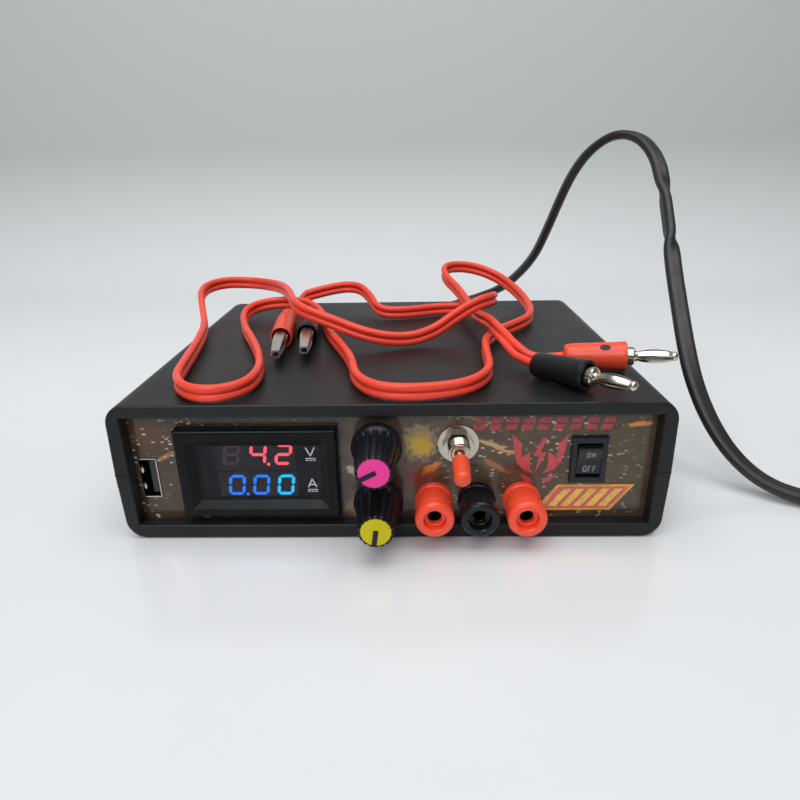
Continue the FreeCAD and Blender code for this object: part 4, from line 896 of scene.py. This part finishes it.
def title_blocks():
    """Two rows of slanted bars, one above the other."""
    made = []
    for i in range(9):
        left = 24.1 + 4.6 * i
        for foot, shift in ((33.8, 0), (36.0, 0.65)):
            corner = left + shift
            made.append([(corner, foot), (corner + 3.2, foot), (corner + 3.7, foot + 1.7),
                         (corner + 0.5, foot + 1.7)])
    return made


def mirrored(outline, centre):
    """The outline on the other side of the upright line x = centre."""
    return [(2 * centre - x, z) for x, z in outline]


def emblem():
    """A bolt between swept wings."""
    centre = 43.9
    wing = [(35.7, 32.3), (38.6, 29.2), (38.6, 24.6), (41.2, 26.6), (41.2, 21.6), (42.6, 19.4),
            (39.4, 20.6), (37.4, 23.2), (36.4, 27.4)]
    blade = [(38.4, 19.4), (41.4, 18.0), (42.8, 16.2), (40.2, 16.8)]
    bolt = [(44.6, 31.2), (42.2, 25.2), (43.9, 25.2), (42.9, 19.4), (46.0, 26.4), (44.3, 26.4),
            (45.9, 31.2)]
    return [wing, mirrored(wing, centre), blade, mirrored(blade, centre), bolt]


BANNER = [(43.4, 6.7), (66.5, 6.7), (73.2, 15.6), (50.0, 15.6)]
BANNER_FILL = [(45.9, 7.5), (66.0, 7.5), (71.5, 14.8), (50.4, 14.8)]
bars = [[(left, 8.2), (left + 2.4, 8.2), (left + 6.9, 14.1), (left + 4.5, 14.1)]
        for left in (47.6, 51.4, 55.2, 59.0, 62.8)]
# Each print's piece, outlines, height over the first layer, ink and colour.
for name, outlines, raised, ink_name, colour in (
    ("printed_title", title_blocks(), 0, "title_ink", (0.44, 0.024, 0.035)),
    ("printed_emblem", emblem(), 0, "emblem_ink", (0.60, 0.045, 0.06)),
    ("printed_banner", [BANNER], 0, "banner_ink", (0.80, 0.36, 0.04)),
    ("banner_fill", [BANNER_FILL], 0.03, "fill_ink", (0.72, 0.10, 0.09)),
    ("banner_bars", bars, 0.06, "bar_ink", (0.86, 0.55, 0.08)),
):
    plates(name, outlines, PRINT_BACK, PRINT_FRONT - raised, "panel_decal", ink(ink_name, colour))


# ---------------------------------------------------------------- controls on the panel
FORWARDS = (0, -1, 0)
KNOB_X, KNOB_BACK = -3.7, -63
KNOB_PROFILE = [
    (0, 3.0), (0, 7.1), (0.3, 7.4), (2.3, 7.4), (2.9, 7.2), (3.5, 6.75), (3.9, 6.6), (4.5, 6.45), (6, 6.25),
    (9, 5.95), (12, 5.62), (15, 5.3), (16.2, 5.15), (16.75, 4.95), (17, 4.7), (17, 4.45), (16.1, 4.45),
    (16.1, 0),
]
FLUTES, FLUTE_DEPTH = 18, 0.55


def fluted(along, angle, radius):
    """Grooves that start above the skirt and run to the front edge."""
    share = min(1.0, max(0.0, (along - 3.6) / 0.8)) if radius > 4.6 else 0.0
    reach = radius - share * FLUTE_DEPTH * max(0.0, math.cos(FLUTES * angle)) ** 0.8
    return reach, reach


# Each knob's height on the panel, and how far its pointer is turned, in degrees.
for key, level, pointer in (("volts", 30.6, 62), ("amps", 12.3, 8)):
    def build_knob(work):
        """A skirted knob, with its pointer across the coloured cap."""
        add_lathe(work, frame_along((KNOB_X, KNOB_BACK, level), FORWARDS), KNOB_PROFILE, 216, fluted)
        turned = Matrix.Translation((KNOB_X, 0, level)) @ Matrix.Rotation(math.radians(pointer), 4, "Y")
        add_block(work, (-0.72, -80.06, -4.7), (0.72, -79.0, 0.6), turned)
    name = f"{key}_fluted_knob"
    knob = add_piece(name, build_knob, "knob_black", f"{key}_knob_set", sharp=50)
    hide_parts(f"{key}_knob")


POST_Z = 10.9
LIP_POINTS = 40
# Section of the ring inside a post's mouth: distance forwards, and radius.
LIP = [(69.1, 2.15), (69.1, 3.25), (70.3, 3.25), (70.6, 3.05), (70.6, 2.35), (70.4, 2.15)]
for key, x, slot_name in (("left", 12.8, "post_red"), ("centre", 25.8, "post_black"),
                          ("right", 39.4, "post_red")):
    def build_lip(work):
        place = frame_along((x, 0, POST_Z), FORWARDS)
        turns = [2 * math.pi * i / LIP_POINTS for i in range(LIP_POINTS)]
        rings = []
        for along, radius in LIP:
            rings.append([place @ Vector((along, radius * math.cos(turn), radius * math.sin(turn)))
                          for turn in turns])
        add_rings(work, rings, closed=True)
    name = f"{key}_post_mouth"
    add_piece(name, build_lip, slot_name, f"{key}_cap")


def build_seams(work):
    """Dark joint between the cover and the tray, across the front and rear rims."""
    half_wide, half_deep = 2.05, 0.05
    for x in (-79.25, 79.25):
        for y in (-64.5, 64.5):
            add_block(work, (x - half_wide, y - half_deep, 21.8), (x + half_wide, y + half_deep, 22.15))


add_piece("rim_seams", build_seams, "case_plastic",
          material=moulded("seam_shadow", (0.002, 0.002, 0.002), 0.9))


def build_thread(work):
    """Ridges of the toggle's threaded neck."""
    first, last, pitch, root, crest = 62.5, 66.9, 0.5, 2.96, 3.2
    profile = []
    for i in range(9):
        start = first + pitch * i
        profile += [(start, root), (start + pitch / 2, crest)]
    add_lathe(work, frame_along((20, 0, 29.6), FORWARDS), profile + [(last, root)], 40)


add_piece("toggle_thread", build_thread, "nickel", sharp=80)


def build_springs(work):
    """Contact springs on the socket shell's side wall."""
    for level in (21.5, 16.0):
        add_lathe(work, frame_along((-75.1, -60.1, level), FORWARDS),
                  [(-0.4, 0), (-0.3, 0.6), (0, 0.8), (0.2, 0.5), (0.26, 0)], 20,
                  lambda along, angle, radius: (radius * 0.7, radius * 1.5))


add_piece("socket_springs", build_springs, "nickel")


# Each letter's strokes, from its lower left corner, in letter heights.
STROKES = {
    "O": [((0, 0), (0, 1)), ((0, 1), (0.7, 1)), ((0.7, 1), (0.7, 0)), ((0.7, 0), (0, 0))],
    "N": [((0, 0), (0, 1)), ((0, 1), (0.7, 0)), ((0.7, 0), (0.7, 1))],
    "F": [((0, 0), (0, 1)), ((0, 1), (0.65, 1)), ((0, 0.52), (0.5, 0.52))],
}
LETTER, LETTER_STROKE, LETTER_PITCH, LETTER_SQUEEZE = 1.75, 0.24, 1.45, 0.62


def add_word(work, word, place):
    """Raised strokes of a word, centred on place's origin, on its XZ plane."""
    left = -(LETTER_PITCH * (len(word) - 1) + 0.7 * LETTER) / 2
    for i, letter in enumerate(word):
        corner = left + LETTER_PITCH * i
        for stroke in STROKES[letter]:
            ends = [(corner + x * LETTER * LETTER_SQUEEZE, (z - 0.5) * LETTER) for x, z in stroke]
            add_plate(work, bar(*ends, LETTER_STROKE, 0), 0.02, -0.05, place)


def build_words(work):
    """OFF on the paddle's flat half, and ON on the half that tilts out."""
    add_word(work, "OFF", Matrix.Translation((58.9, -61.2, 21.5)))
    tilted = Matrix.Translation((58.3, -61.2, 24.2)) @ Matrix.Rotation(math.radians(19.15), 4, "X")
    add_word(work, "ON", tilted @ Matrix.Translation((0.5, 0, 2.4)))


add_piece("rocker_words", build_words, "rocker_black", "rocker",
          ink("word_ink", (0.30, 0.31, 0.32)))


# ---------------------------------------------------------------- camera, light and stage
CAMERA_PLACE = (0.0070, -0.21885, 0.1072)
CAMERA_YAW, CAMERA_PITCH, CAMERA_ROLL = -1.402, 21.873, -1.004
CAMERA_SENSOR, CAMERA_LENS = 36, 27
STAGE_HALF, WALL_TOP = 2.5, 2.0
BEND_START, BEND_RADIUS, BEND_STEPS = 0.30, 0.12, 12
FLOOR_DROP = 0.0002


def aim_camera():
    """The photograph's view: near the object, and looking down on it."""
    yaw, pitch, roll = (math.radians(angle) for angle in (CAMERA_YAW, CAMERA_PITCH, CAMERA_ROLL))
    ahead = Vector((math.sin(yaw) * math.cos(pitch), math.cos(yaw) * math.cos(pitch), -math.sin(pitch)))
    right = Vector((math.cos(yaw), -math.sin(yaw), 0))
    above = right.cross(ahead)
    level = math.cos(roll) * right + math.sin(roll) * above
    top = math.cos(roll) * above - math.sin(roll) * right
    data = bpy.data.cameras.new("camera")
    data.sensor_width = CAMERA_SENSOR
    data.lens = CAMERA_LENS
    data.clip_start = 0.01
    data.clip_end = 20
    camera = bpy.data.objects.new("camera", data)
    turned = Matrix((level, top, -ahead)).transposed().to_4x4()
    camera.matrix_world = Matrix.Translation(CAMERA_PLACE) @ turned
    bpy.context.scene.collection.objects.link(camera)
    bpy.context.scene.camera = camera


def soft_light(name, place, aim, size, power):
    """A rectangular area light, turned towards aim."""
    data = bpy.data.lights.new(name, "AREA")
    data.shape = "RECTANGLE"
    data.size, data.size_y = size
    data.energy = power
    light = bpy.data.objects.new(name, data)
    light.location = place
    light.rotation_euler = (Vector(aim) - Vector(place)).to_track_quat("-Z", "Y").to_euler()
    bpy.context.scene.collection.objects.link(light)


def sweep_stage():
    """Floor just under the object that curves up into a backdrop, as one sheet; its wall is painted darker
    than the floor as shade.
    """
    profile = [(-STAGE_HALF, 0.0), (BEND_START, 0.0)]
    for i in range(1, BEND_STEPS + 1):
        angle = math.radians(90 * i / BEND_STEPS)
        profile.append((BEND_START + BEND_RADIUS * math.sin(angle),
                        BEND_RADIUS - BEND_RADIUS * math.cos(angle)))
    profile.append((BEND_START + BEND_RADIUS, WALL_TOP))
    mesh = bpy.data.meshes.new("backdrop")
    verts = [(x, y, z - FLOOR_DROP) for y, z in profile for x in (-STAGE_HALF, STAGE_HALF)]
    faces = [(2 * i, 2 * i + 1, 2 * i + 3, 2 * i + 2) for i in range(len(profile) - 1)]
    mesh.from_pydata(verts, [], faces)
    mesh.shade_smooth()
    g = Graph("paper", 0.5, Specular_IOR_Level=0.8)
    spot = g.node("ShaderNodeSeparateXYZ", {"Vector": g.place})
    # The wall's darker grey is painted shade for the smaller amount of light it gets than the floor.
    wall_painted_shade = g.between(spot.outputs["Z"], 0.0, BEND_RADIUS)
    g.feed("Roughness", g.between(spot.outputs["Y"], -0.06, 0.05, 0.14, 0.75))
    paper = g.mix(g.noise(60.0, 3.0), (0.76, 0.775, 0.79), (0.79, 0.80, 0.81))
    g.feed("Base Color", g.mix(wall_painted_shade, paper, (0.53, 0.555, 0.54)))
    mesh.materials.append(g.material)
    backdrop = bpy.data.objects.new("backdrop", mesh)
    bpy.context.scene.collection.objects.link(backdrop)


def room_light():
    """Soft light from all round, stronger from above."""
    world = bpy.data.worlds.new("studio")
    world.use_nodes = True
    sky = world.node_tree
    background = sky.nodes["Background"]
    heading = sky.nodes.new("ShaderNodeTexCoord")
    height = sky.nodes.new("ShaderNodeSeparateXYZ")
    fade = sky.nodes.new("ShaderNodeValToRGB")
    sky.links.new(heading.outputs["Generated"], height.inputs[0])
    sky.links.new(height.outputs["Z"], fade.inputs["Fac"])
    sky.links.new(fade.outputs["Color"], background.inputs["Color"])
    low, high = fade.color_ramp.elements
    low.color = (0.16, 0.17, 0.19, 1)
    high.color = (0.86, 0.90, 0.95, 1)
    high.position = 0.8
    background.inputs["Strength"].default_value = 0.42
    bpy.context.scene.world = world


aim_camera()
sweep_stage()
soft_light("overhead", (0.0, -0.12, 0.75), (0, 0, 0), (0.9, 0.6), 4.3)
soft_light("front_fill", (-0.30, -0.9, 0.75), (0, 0, 0.02), (0.6, 0.45), 4.5)
room_light()
